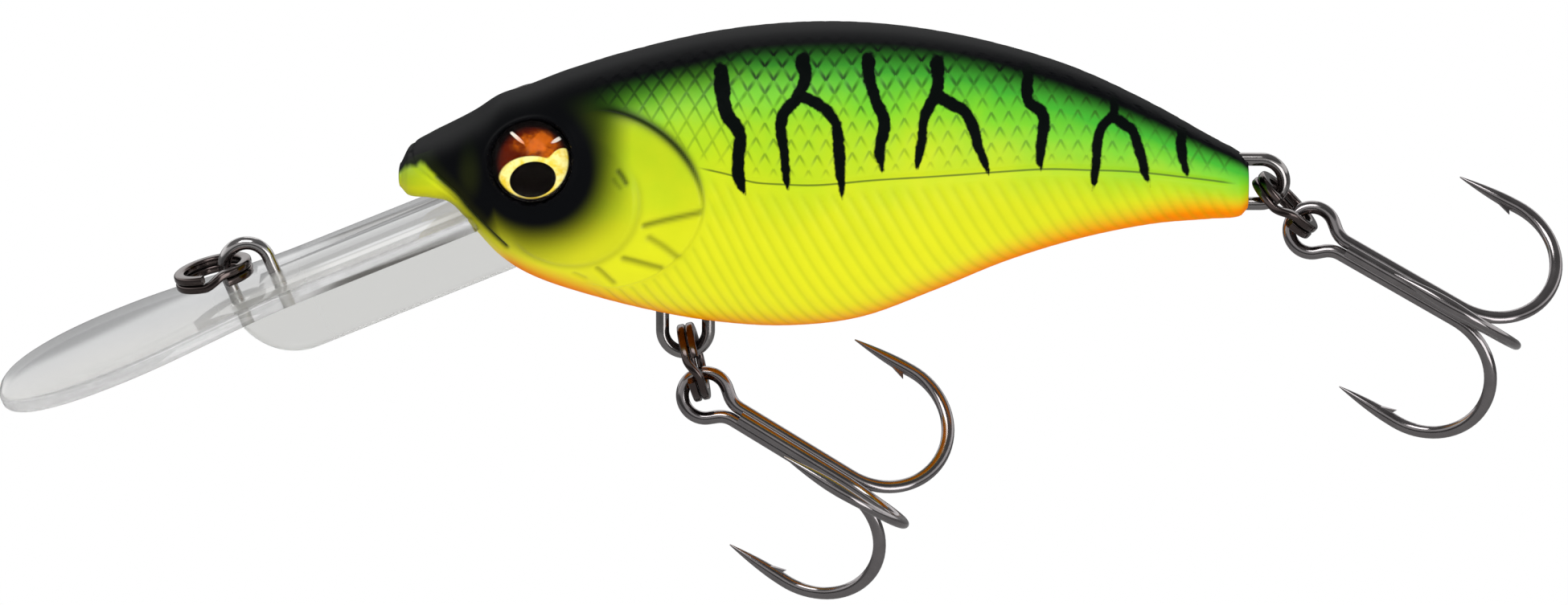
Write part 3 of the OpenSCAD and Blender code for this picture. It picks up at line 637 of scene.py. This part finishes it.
def bentWire(start, moves):  # rows of place, radius, flattening and plane normal
    pen, rows = Matrix(start), []

    def mark(radius=wireForm.radius, flat=0.0):
        rows.append((*pen.translation, radius, flat, *(pen.to_3x3() @ Vector((0, 1, 0)))))

    mark()
    for kind, *values in moves:
        if kind == "roll":
            pen = pen @ turned("Z", values[0])
        elif kind == "go":
            pen = pen @ shifted(0, 0, values[0])
            mark()
        elif kind == "bend":
            radius, angle, flat = (*values, 0.0)[:3]
            steps = math.ceil(angle / wireForm.bendStep)
            turn = shifted(radius, 0, 0) @ turned("Y", angle / steps) @ shifted(-radius, 0, 0)
            for share in np.arange(1, steps + 1) / steps:
                pen = pen @ turn
                mark(flat=flat * min(1, wireForm.forgeEase * share, wireForm.forgeEase * (1 - share)))
        elif kind == "point":
            length, tip, steps = values
            for share in np.arange(1, steps + 1) / steps:
                pen = pen @ shifted(0, 0, length / steps)
                mark(tip + (wireForm.radius - tip) * (1 - share ** wireForm.pointPower))
    return np.array(rows)


def wireTree():
    n, given = growingTree("wireAlongPath", {"Wire facets": "Int", "Metal": "Material"})
    place = n.add("GeometryNodeInputPosition")
    path = n.add("GeometryNodeMeshToCurve", {"Mesh": given["Geometry"]})
    path = n.add("GeometryNodeStoreNamedAttribute", {"Geometry": path, "Name": "spine", "Value": place},
                 data_type="FLOAT_VECTOR")
    outline = n.add("GeometryNodeCurvePrimitiveCircle", {"Resolution": given["Wire facets"], "Radius": 1.0})
    sweep = n.add("GeometryNodeCurveToMesh", {"Curve": path, "Profile Curve": outline, "Fill Caps": True,
                                              "Scale": namedField(n, "wireRadius")})
    spine, plane = (namedField(n, name, "FLOAT_VECTOR") for name in ("spine", "planeNormal"))
    out = n.add("ShaderNodeVectorMath", {0: place, 1: spine}, operation="SUBTRACT")
    level = n.add("ShaderNodeVectorMath", {0: out, 1: plane}, "Value", operation="DOT_PRODUCT")
    pressed = pushed(n, sweep, plane, n.times(level, namedField(n, "flatten"), -1.0))
    return closeTree(n, pressed, given["Metal"])


def sweepWire(name, rows, metal, closed=False):
    piece = addPath(name, rows[:, :3], closed)
    addValues(piece, "wireRadius", rows[:, 3] * mm)
    addValues(piece, "flatten", rows[:, 4])
    addValues(piece, "planeNormal", rows[:, 5:8])
    grow(piece, bendWireTree, {"Wire facets": wireForm.facets, "Metal": metal})
    softEdges(piece, wireForm.sharpFrom)
    return piece


wearForm = Form({"noise": (700.0, 4.0), "reach": (0.2, 0.8), "spread": 0.25})
metalForm = {  # screen colour, roughness, how much darker the worn spots are
    "hookNickel": ((160, 155, 156), 0.14, 0.35), "wireSteel": ((166, 162, 161), 0.14, 0.3),
    "tieSteel": ((188, 185, 185), 0.16, 0.25), "ringBlack": ((96, 86, 84), 0.16, 0.35),
    "ballastSteel": ((170, 170, 174), 0.4, 0.2), "rattleSteel": ((205, 205, 208), 0.15, 0.1),
}


def metal(name):
    colour, rough, wear = metalForm[name]
    material, shader, n = newMaterial(name, Metallic=1.0)
    noise = n.noise(n.place(), *wearForm.noise)
    tone = paint(*colour)
    worn = tuple(c * (1 - wear) for c in tone[:3]) + (1,)
    plug(shader, "Base Color", n.blend(worn, (noise, tone)))
    smoothest, roughest = rough * (1 - wearForm.spread), rough * (1 + wearForm.spread)
    plug(shader, "Roughness", n.step(noise, *wearForm.reach, smoothest, roughest))
    return material


hookMetal, wireMetal, tieMetal, ringMetal, ballastMetal, rattleMetal = map(metal, metalForm)
bendWireTree = wireTree()

# Line tie, a staple in the tilted lip
tieForm = Form({"pitch": 22.5, "height": 2.35, "leg": 3.1, "buriedFrom": (1.0, 0.6), "buriedTone": (214, 214, 212),
                "buriedMetallic": 0.1, "ringTurn": 166})
lipFrame = turned("Y", -tieForm.pitch) @ shifted(0, 0, -tieForm.height)


def lipPlace(n):  # along, across and above, in millimetres in the lip's own frame
    place = n.place()
    along, across, above = (
        n.add("ShaderNodeVectorMath", {0: place, 1: axis.to_3d() / mm}, "Value", operation="DOT_PRODUCT")
        for axis in lipFrame.col[:3])
    return along, across, n.plus(above, tieForm.height)


def fadeInLip(material):  # inside the lip the wire is seen through cloudy plastic
    n, shader = Nodes(material.node_tree), material.node_tree.nodes["Principled BSDF"]
    buried = n.step(lipPlace(n)[2], *tieForm.buriedFrom)
    tone = shader.inputs["Base Color"].links[0].from_socket
    plug(shader, "Base Color", n.blend(tone, (buried, tieForm.buriedTone)))
    plug(shader, "Metallic", n.step(buried, 0.0, 1.0, 1.0, tieForm.buriedMetallic))


fadeInLip(tieMetal)
tie = bentWire(lipFrame @ shifted(-eyeR, 0, tieForm.height - tieForm.leg),
               [("go", tieForm.leg), ("bend", eyeR, 180), ("go", tieForm.leg)])
settle(sweepWire("lineTie", tie, tieMetal), tieMetal, "lure_body", "tie_wire", "line_tie_wire")

# What hangs from the body: wire eye, turn and length of its link, turn of the ring, pitch, yaw and roll of the treble
hangForm = {
    "belly": Form({"eye": (36.3, 0, -5.6), "linkTurn": 0, "link": 5.2, "ringTurn": 76, "hook": (30.3, -8.4, -9.7)}),
    "tail": Form({"eye": (83.9, 0, 7.2), "linkTurn": -90, "link": 5.4, "ringTurn": 45, "hook": (27.9, -12.0, -14.0)}),
}
for name, hang in hangForm.items():
    start = shifted(*hang.eye) @ turned("Y", hang.linkTurn) @ shifted(-eyeR, 0, 0)
    loop = bentWire(start, [("go", hang.link), ("bend", eyeR, 180)] * 2)[:-1]
    hanger = sweepWire(name + "Hanger", loop, wireMetal, closed=True)
    settle(hanger, wireMetal, "lure_body", "hanger_wire", name + "_hanger_wire")
print("line tie and hangers done")

# Trebles
hookForm = Form({
    "slack": 0.28, "armGap": 0.015, "neckTurn": 130.0, "neckBend": 2.0, "length": 20.0, "bendRadius": 5.6,
    "bendTurn": 182.5, "heel": 0.8, "point": 4.6, "tip": 0.05, "pointSteps": 12, "singleStart": 3.4, "forged": 0.24,
    "barb": [(0.11, 1.8, 0.18), (0.11, 0.0, 0.18), (1.0, -0.5, 0.07)],  # corners: inward, ahead, half thickness
})
ringForm = Form({"meanDiameter": 5.7, "radial": 0.9, "axial": 0.66, "gap": 0.06, "corner": 0.2, "cornerSteps": 4,
                 "turn": 322.0, "start": -75.0, "steps": 240, "sharpFrom": 40})


def hookArms():  # rows of the double hook and of the single hook, in the hook's frame
    f, r = hookForm, wireForm.radius
    shankR = r * 2 / math.sqrt(3) + f.armGap
    sine, cosine = math.sin(math.radians(f.neckTurn)), math.cos(math.radians(f.neckTurn))
    neck = (eyeR * sine - f.neckBend * (1 - sine) - shankR * math.cos(math.radians(30))) / -cosine
    shankFrom = neck * sine - (eyeR + f.neckBend) * cosine
    shankTo = f.length - r - f.bendRadius
    bend = [("bend", f.bendRadius, f.bendTurn, f.forged), ("go", f.heel), ("point", f.point, f.tip, f.pointSteps)]
    arm = [("bend", eyeR, f.neckTurn), ("go", neck), ("roll", 180), ("bend", f.neckBend, f.neckTurn - 90),
           ("go", shankTo - shankFrom), ("roll", -30)] + bend
    upper = bentWire(shifted(-eyeR, shankR / 2, 0), arm)
    lower = upper * np.array([1, 1, -1, 1, 1, 1, 1, -1])  # mirrored
    start = turned("X", -90) @ turned("Y", 90) @ shifted(shankR, 0, f.singleStart)
    single = bentWire(start, [("go", shankTo - f.singleStart)] + bend)
    return np.vstack([lower[:0:-1], upper]), single


def addBarb(piece, rows, shank):  # a thin wedge on the shank side of the point that the rows start from
    f = hookForm
    tip, heel, plane = rows[0, :3], rows[f.pointSteps, :3], rows[f.pointSteps, 5:8]
    ahead = (tip - heel) / np.linalg.norm(tip - heel)
    inward = np.cross(plane, ahead)
    inward = inward * np.sign(inward @ (shank - heel))
    verts = [heel + inward * a + ahead * b + plane * c * s for s in (-1, 1) for a, b, c in f.barb]
    shape = bmesh.new()
    shape.from_mesh(piece.data)
    made = [shape.verts.new(v * mm) for v in verts]
    rings = ((0, 1, 2), (5, 4, 3), (0, 3, 4, 1), (1, 4, 5, 2), (2, 5, 3, 0))
    fresh = [shape.faces.new([made[k] for k in ring]) for ring in rings]
    bmesh.ops.recalc_face_normals(shape, faces=fresh)
    shape.to_mesh(piece.data)
    shape.free()


doubleRows, singleRows = hookArms()
for name, hang in hangForm.items():
    pitch, yaw, roll = hang.hook
    farSide = shifted(*hang.eye) @ turned("Y", hang.ringTurn) @ shifted(ringForm.meanDiameter, 0, 0)  # of its ring
    place = (shifted(*farSide.translation) @ turned("Y", pitch) @ turned("Z", yaw) @ turned("X", roll)
             @ shifted(hookForm.slack, 0, 0))
    for kind, source in (("Double", doubleRows), ("Single", singleRows)):
        rows = source.copy()
        rows[:, :3] = movedBy(place, source[:, :3])
        rows[:, 5:8] = movedBy(place.to_3x3().to_4x4(), source[:, 5:8])
        hook = sweepWire(name + kind + "Hook", rows, hookMetal)
        if kind == "Double":
            addBarb(hook, rows, rows[len(rows) // 2, :3])
            addBarb(hook, rows[::-1], rows[len(rows) // 2, :3])
        else:
            addBarb(hook, rows[::-1], rows[0, :3])
        settle(hook, hookMetal, name + "_treble", "hook_nickel", name + "_hook_" + kind.lower())
print("trebles done")


# Split rings
def ringTree():
    sockets = {"Strip width": "Float", "Strip thickness": "Float", "Corner": "Float", "Metal": "Material"}
    n, given = growingTree("stripAlongPath", sockets)
    path = n.add("GeometryNodeMeshToCurve", {"Mesh": given["Geometry"]})
    path = n.add("GeometryNodeSetCurveNormal", {"Curve": path}, mode="Z_UP")
    size = {"Width": given["Strip width"], "Height": given["Strip thickness"]}
    strip = n.add("GeometryNodeCurvePrimitiveQuadrilateral", size)
    corner = {"Curve": strip, "Radius": given["Corner"], "Count": ringForm.cornerSteps}
    strip = n.add("GeometryNodeFilletCurve", corner, mode="POLY")
    sweep = n.add("GeometryNodeCurveToMesh", {"Curve": path, "Profile Curve": strip, "Fill Caps": True})
    return closeTree(n, sweep, given["Metal"])


def ringRows():  # nearly two turns, with the step between them
    f = ringForm
    angle = np.linspace(0, 360 + f.turn, f.steps)
    z = (f.axial + f.gap) / 2 * (2 * smooth(f.turn, 360, angle) - 1)
    a = np.radians(angle + f.start)
    return np.stack([f.meanDiameter / 2 * np.cos(a), f.meanDiameter / 2 * np.sin(a), z], -1)


stripTree = ringTree()
rings = [("lineTieRing", (0, 0, 0), tieForm.ringTurn, "line_ring", "line_tie_split_ring")]
rings += [(name + "Ring", hang.eye, hang.ringTurn, name + "_ring", name + "_split_ring")
          for name, hang in hangForm.items()]
for name, eye, turn, body, node in rings:
    ring = addPath(name, ringRows())
    grow(ring, stripTree, {"Strip width": ringForm.radial * mm, "Strip thickness": ringForm.axial * mm,
                           "Corner": ringForm.corner * mm, "Metal": ringMetal})
    hung = shifted(*Vector(eye) * mm) @ turned("Y", turn) @ shifted(ringForm.meanDiameter / 2 * mm, 0, 0)
    ring.data.transform(hung)
    softEdges(ring, ringForm.sharpFrom)
    settle(ring, ringMetal, body, "ring_black", node)
print("split rings done")


# Eyes
def turnedPiece(name, profile, place, mirrored):  # radius and height rows, from pole to pole
    steps = eyeForm.facets
    verts = [(0, 0, profile[0][1])]
    for r, h in profile[1:-1]:
        verts += [(r * math.cos(a), r * math.sin(a), h) for a in np.arange(steps) * 2 * math.pi / steps]
    verts.append((0, 0, profile[-1][1]))
    last = len(verts) - 1
    faces = tubeFaces(len(profile) - 2, steps, 1)
    faces += [(0, 1 + (k + 1) % steps, 1 + k) for k in range(steps)]
    faces += [(last, last - steps + k, last - steps + (k + 1) % steps) for k in range(steps)]
    piece = addPiece(name, movedBy(place, verts) * (1, -1 if mirrored else 1, 1), faces)
    addValues(piece, "eyePlace", np.array(verts))
    softEdges(piece, eyeForm.sharpFrom)
    return piece


# Printed iris, with painted highlights of the lens on it: ovals by centre, size and turn
irisForm = Form({
    "pupil": ((0.2, -1.46), (1.9, 1.47), 11.0), "ring": ((0.2, -1.46), (2.8, 1.93)),
    "lobe": ((2.3, 0.0), (0.95, 1.3), -25.0), "amber": ((0.5, 1.5), (2.5, 1.4)),
    # two painted highlights of the lens dome, lying as pale streaks on the iris
    "streaks": [((-1.4, 1.95), (0.95, 0.15), -38.0), ((2.0, 1.95), (0.66, 0.17), 33.0)],
    "amberIn": (226, 112, 20), "amberOut": (66, 16, 6), "grain": (104, 30, 6), "shadow": (20, 8, 8),
    "edge": (10, 8, 8), "clouds": (1.5, 5.0), "grains": (14.0, 4.0), "streakIn": (226, 130, 60),
    "streakOut": (226, 218, 206), "creamDeep": (236, 206, 62), "creamPale": (246, 234, 150), "black": (8, 5, 4),
})


def irisPaint():
    f = irisForm
    material, shader, n = newMaterial("eyeIris", Roughness=0.5, Specular_IOR_Level=0.0)
    place = n.add("ShaderNodeAttribute", output="Vector", attribute_name="eyePlace")
    spread = n.add("ShaderNodeSeparateXYZ", {0: place}).node.outputs
    noise, grain = n.noise(place, *f.clouds), n.noise(place, *f.grains)

    def oval(centre, size, turn=0.0):  # 1 on the oval's edge
        x, y = n.less(spread[0], centre[0]), n.less(spread[1], centre[1])
        c, s = math.cos(math.radians(turn)), math.sin(math.radians(turn))
        along = n.calc("DIVIDE", n.plus(n.times(x, c), n.times(y, s)), size[0])
        across = n.calc("DIVIDE", n.less(n.times(y, c), n.times(x, s)), size[1])
        return n.calc("SQRT", n.plus(n.times(along, along), n.times(across, across)))

    rim = oval((0, 0), (1, 1))
    heart = n.plus(oval(*f.amber), n.calc("MULTIPLY_ADD", noise, 1.6, -0.8))
    # the painted highlights are warmer towards the middle and whiter towards the rim
    glint = n.blend(f.streakIn, (n.step(rim, 1.4, 2.8), f.streakOut))
    cream = n.blend(f.creamDeep, (n.step(noise, 0.35, 0.65), f.creamPale))
    ring = n.calc("SMOOTH_MIN", oval(*f.ring), oval(*f.lobe), 0.5)
    tone = n.blend(f.amberIn, (n.step(heart, 0.1, 1.05), f.amberOut), (n.step(grain, 0.42, 0.62, 0.0, 0.8), f.grain),
                   (n.step(rim, 2.3, 3.0), f.shadow), *((n.step(oval(*row), 1.1, 0.75), glint) for row in f.streaks),
                   (n.step(ring, 1.03, 0.96), cream), (n.step(oval(*f.pupil), 1.03, 0.98), f.black),
                   (n.step(rim, 2.92, 3.1), f.edge))
    plug(shader, "Base Color", tone)
    return material


irisMaterial = irisPaint()
lensMaterial, *_ = newMaterial("eyeLens", Base_Color=(1, 1, 1, 1), Roughness=0.0, Transmission_Weight=1.0, IOR=1.1)
lensR, lensRise = eyeForm.lensRadius, eyeForm.lensThick - eyeForm.lensEdge
domeR = (lensR**2 + lensRise**2) / (2 * lensRise)
irisLow = eyeForm.gap - eyeForm.depth
irisTop = irisLow + eyeForm.irisThick
lensLow = irisTop + eyeForm.gap
irisProfile = [(0, irisLow), (lensR, irisLow)] + [(r, irisTop) for r in np.linspace(lensR, 0, eyeForm.irisRings + 1)]
lensProfile = [(0, lensLow), (lensR, lensLow)] + [
    (domeR * math.sin(a), lensLow + eyeForm.lensThick - domeR * (1 - math.cos(a)))
    for a in np.linspace(math.asin(lensR / domeR), 0, eyeForm.lensRings + 1)]
for name, node, mirrored in (("leftEye", "left_eye", False), ("rightEye", "right_eye", True)):
    iris = turnedPiece(name + "Iris", irisProfile, eyeFrame, mirrored)
    settle(iris, irisMaterial, "lure_body", "eye_iris", node + "_iris")
    lens = turnedPiece(name + "Lens", lensProfile, eyeFrame, mirrored)
    settle(lens, lensMaterial, "lure_body", "eye_lens", node + "_lens")
print("eyes done")

# Diving lip
lipForm = Form({
    "reach": 23.2, "width": 20.0, "tip": 10.8, "tipPower": 2.4, "neckWidth": 13.6, "neckX": 4.0, "thick": 1.3,
    "edge": 0.4, "shoulderX": 19.6, "shoulderSlope": 0.8, "tongueWidth": 9.0, "tongueEnd": 24.6, "tongueLow": -4.2,
    "keelX": 2.8, "keelFront": 5.4, "keelRoot": 0.5, "keelDepth": 6.2, "keelThick": 1.7, "keelEdge": 0.3,
    "keelSeat": 20.9, "keelHeel": 0.8, "keelTongue": 26.0, "ribWidth": 4.6, "ribHeight": 0.45, "ribSink": 0.2,
    "ribFrom": 0.4, "ribTo": 18.8, "ribNose": [(0.0, 0.05), (0.672, 0.55), (1.68, 1.0)],  # how its front rises
    "sharpFrom": 40,
    # tints of the plastic: painted light and shade on one clear moulding, with painted highlights and a dark painted
    # shade line
    "farTint": (0.57, 0.565, 0.545, 1), "nearTint": (0.43, 0.435, 0.44, 1), "keelTint": (0.64, 0.64, 0.625, 1),
    "clouds": (120.0, 3.0), "brightTint": (1, 1, 1, 1), "darkTint": (0.1, 0.095, 0.085, 1), 
    "haze": (0.3, 0.8, 0.16, 0.26), "legHaze": 0.25,
})


def roundedPlate(name, outline, thick, edge, place):  # a flat piece with rounded edges
    flat = np.array(outline)
    forward = np.roll(flat, -1, 0) - np.roll(flat, 1, 0)
    inward = np.stack([-forward[:, 1], forward[:, 0]], -1) / np.linalg.norm(forward, axis=1)[:, None]
    if np.sum(flat[:, 0] * np.roll(flat[:, 1], -1) - np.roll(flat[:, 0], -1) * flat[:, 1]) < 0:
        inward = -inward
    bow = [math.radians(d) for d in (90, 68, 45, 22, 0)]
    levels = [(edge * (1 - math.cos(d)), -thick / 2 + edge * (1 - math.sin(d))) for d in bow]
    levels += [(inset, -h) for inset, h in levels[::-1]]
    return cappedTube(name, [[(*p, h) for p in flat + inward * inset] for inset, h in levels], place)


def bladeOutline():
    f = lipForm
    wideX, power = f.tip - f.reach, 2 / f.tipPower
    edge = [(wideX - f.tip * math.cos(a) ** power, f.width / 2 * math.sin(a) ** power)
            for a in np.radians(np.linspace(0, 90, 31))[1:-1]]
    taper = (f.width - f.neckWidth) / 4
    edge += [(wideX + (f.neckX - wideX) * u, f.neckWidth / 2 + taper * (1 + math.cos(math.pi * u)))
             for u in np.linspace(0, 1, 25)]
    edge += [(f.shoulderX, f.neckWidth / 2), (f.shoulderX + f.shoulderSlope, f.tongueWidth / 2),
             (f.tongueEnd, f.tongueWidth / 2)]
    return [(-f.reach, 0)] + edge + [(x, -y) for x, y in edge[::-1]]


def keelOutline():
    f = lipForm
    front = [(f.keelX - f.keelFront * math.cos(a), -f.keelRoot - (f.keelDepth - f.keelRoot) * math.sin(a))
             for a in np.radians(np.linspace(0, 90, 19))]
    return front + [(f.keelSeat, -f.keelDepth), (f.keelSeat - f.keelHeel, f.tongueLow), (f.keelTongue, f.tongueLow),
                    (f.keelTongue, 0), (f.keelX - f.keelFront, 0)]


def neckRib():
    f = lipForm
    radius = (f.ribWidth ** 2 / 4 + f.ribHeight ** 2) / (2 * f.ribHeight)
    half = math.asin(f.ribWidth / 2 / radius)
    bow = [(radius * math.sin(a), radius * (math.cos(a) - math.cos(half))) for a in half * np.arange(-6, 7) / 6]
    rings = []
    for x, share in [(f.ribFrom + ahead, rise) for ahead, rise in f.ribNose] + [(f.ribTo, 1.0)]:
        foot = [(x, y, f.thick / 2 - f.ribSink) for y in (f.ribWidth / 2, -f.ribWidth / 2)]
        rings.append([(x, y, f.thick / 2 + h * share) for y, h in bow] + foot)
    return cappedTube("neckRib", rings, lipFrame)


def clearPlastic():
    f = lipForm
    material, shader, n = newMaterial("lipClear", Transmission_Weight=1.0, IOR=1.04, Coat_Weight=0.8,
                                      Coat_Roughness=0.06)
    noise = n.noise(n.place(), *f.clouds)
    along, across, above = lipPlace(n)
    aside = n.calc("ABSOLUTE", across)

    def within(value, low, high, soft):
        return n.times(n.step(value, low - soft, low + soft), n.step(value, high + soft, high - soft))

    # one half of the blade is tinted lighter than the other, and the keel lighter still, as painted light and shade
    side = n.step(n.plus(across, n.calc("MULTIPLY_ADD", noise, 4.0, -2.0)), -3.0, 3.0)
    keel = n.step(above, -0.6, -0.9)
    # painted highlights: white along the blade's edges, the neck's sides, the rib's edges and the top of the keel
    rim = n.times(within(above, -0.6, 0.55, 0.08), n.step(along, 4.5, 2.5, 0.0, 0.55),
                  n.step(noise, 0.35, 0.65, 0.7, 1.0))
    neckSideHighlight = n.times(within(above, -0.1, 0.55, 0.08), n.step(aside, 6.0, 6.4), n.step(along, 3.0, 4.5, 0.0, 0.7))
    ribEdgeHighlight = n.times(within(aside, 2.2, 2.8, 0.15), n.step(above, 0.5, 0.6), within(along, 6.0, 15.0, 1.5))
    keelTopHighlight = n.times(within(above, -1.25, -0.8, 0.1), within(along, 5.5, 17.0, 1.5))
    under = n.less(above, n.step(along, 6.0, 17.0, -0.05, -0.4))  # the neck's lower edge, thinner at the body
    # a dark line of painted shade along the neck's lower edge, on both sides
    paintedShade = n.times(n.step(under, 0.08, -0.08), n.step(above, -0.75, -0.6), n.step(aside, 6.2, 6.5),
                   within(along, 6.0, 17.0, 1.5))
    highlights = n.most(rim, neckSideHighlight, ribEdgeHighlight, keelTopHighlight)
    tint = n.blend(f.farTint, (side, f.nearTint), (keel, f.keelTint), (highlights, f.brightTint), (paintedShade, f.darkTint))
    plug(shader, "Base Color", tint)
    legs = n.times(within(along, -3.2, 3.8, 1.0), within(across, -2.5, 2.5, 1.0))  # round the line tie
    plug(shader, "Roughness", n.plus(n.step(noise, *f.haze), n.times(legs, f.legHaze)))
    return material


lip = roundedPlate("divingLip", bladeOutline(), lipForm.thick, lipForm.edge, lipFrame)
keel = roundedPlate("keelFin", keelOutline(), lipForm.keelThick, lipForm.keelEdge, lipFrame @ turned("X", 90))
rib = neckRib()
for part in (keel, rib):
    join = lip.modifiers.new(part.name, "BOOLEAN")
    join.operation, join.solver, join.object = "UNION", "EXACT", part
evaluated(lip)
for part in (keel, rib):
    bpy.data.objects.remove(part)
softEdges(lip, lipForm.sharpFrom)
settle(lip, clearPlastic(), "lure_body", "lip_clear", "diving_lip")
print("lip done")

# Pieces inside the body keep their CAD meshes
insides = {"belly_ballast": ballastMetal, "rattle_ball_left": rattleMetal, "rattle_ball_right": rattleMetal}
for node, material in insides.items():
    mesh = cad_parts[node].data
    mesh.materials.clear()
    mesh.materials.append(material)

# Stage
stageForm = Form({
    "floorBelow": 100.0, "floorRadius": 420.0, "floorTone": (240, 240, 240), "floorMirrored": (160, 160, 160),
    "floorFade": (0.12, 0.3), "aim": (44.47, 0.0, -3.23), "distance": 1200.0, "elevation": 16.0, "span": 130.0,
    "sensor": 36.0, "clipStart": 0.05, "worldLight": 0.62,
    # mirrored rays see a lit strip in a dim room
    "stripLow": (0.06, 0.14), "stripHigh": (0.56, 0.46), "stripLight": (0.0, 1.0, 0.2, 1.25),
    "roomFront": (-0.8, 0.1, 0.5, 1.0),
    # lamps: place, size, power
    "lamps": {"keyLamp": ((-60, -380, 520), 320, 1.5), "fillLamp": ((330, -460, -20), 300, 0.9),
              "rimLamp": ((60, 420, 380), 260, 0.3)},
})
white = (1, 1, 1, 1)


def raysOf(n):  # rays that the camera sees, also through clear pieces, and mirrored rays
    ray = n.add("ShaderNodeLightPath").node.outputs
    return n.most(ray["Is Camera Ray"], ray["Is Transmission Ray"]), ray["Is Glossy Ray"]


low = cadBounds[0][2] - stageForm.floorBelow * mm
bpy.ops.mesh.primitive_circle_add(vertices=96, radius=stageForm.floorRadius * mm, fill_type="NGON",
                                  location=(stageForm.aim[0] * mm, 0, low))
floor = bpy.context.object
floor.name = "floor"
floorPale, floorShader, n = newMaterial("floorPale", Roughness=0.8)
floor.data.materials.append(floorPale)
seen, mirrored = raysOf(n)
plug(floorShader, "Base Color", n.blend(stageForm.floorTone, (mirrored, stageForm.floorMirrored)))
away = n.add("ShaderNodeVectorMath", {0: n.place()}, "Value", operation="LENGTH")
share = n.times(n.step(away, *stageForm.floorFade), seen)  # far out it turns plain white
glow = n.add("ShaderNodeEmission", {"Color": white, "Strength": 1.0})
mixed = n.add("ShaderNodeMixShader", {0: share, 1: floorShader.outputs[0], 2: glow})
plug(floorPale.node_tree.nodes["Material Output"], 0, mixed)

world = bpy.data.worlds.new("studio")
bpy.context.scene.world = world
world.use_nodes = True
n = Nodes(world.node_tree)
toward = n.add("ShaderNodeSeparateXYZ", {0: n.add("ShaderNodeTexCoord", output="Generated")}).node.outputs
strip = n.times(n.step(toward[2], *stageForm.stripLow), n.step(toward[2], *stageForm.stripHigh))
room = n.times(n.step(toward[1], *stageForm.roomFront), n.step(strip, *stageForm.stripLight))
seen, mirrored = raysOf(n)
plain = n.step(seen, 0.0, 1.0, stageForm.worldLight, 1.0)
strength = n.plus(plain, n.times(mirrored, n.less(1.0, seen), n.less(room, plain)))
background = world.node_tree.nodes["Background"]
background.inputs["Color"].default_value = white
plug(background, "Strength", strength)

aim = Vector(stageForm.aim) * mm
for name, (place, size, power) in stageForm.lamps.items():
    lamp = linked(name, bpy.data.lights.new(name, "AREA"))
    lamp.data.energy, lamp.data.size = power, size * mm
    lamp.location = Vector(place) * mm
    lamp.rotation_euler = (aim - lamp.location).to_track_quat("-Z", "Y").to_euler()

camera = linked("photoCamera", bpy.data.cameras.new("photoCamera"))
rise = math.radians(stageForm.elevation)
camera.location = aim + Vector((0, -math.cos(rise), math.sin(rise))) * stageForm.distance * mm
camera.rotation_euler = (math.pi / 2 - rise, 0, 0)
camera.data.sensor_width = stageForm.sensor
camera.data.lens = stageForm.sensor * stageForm.distance / stageForm.span
camera.data.clip_start = stageForm.clipStart
bpy.context.scene.camera = camera
bpy.context.scene.view_settings.view_transform = "Standard"

print("scene ready")
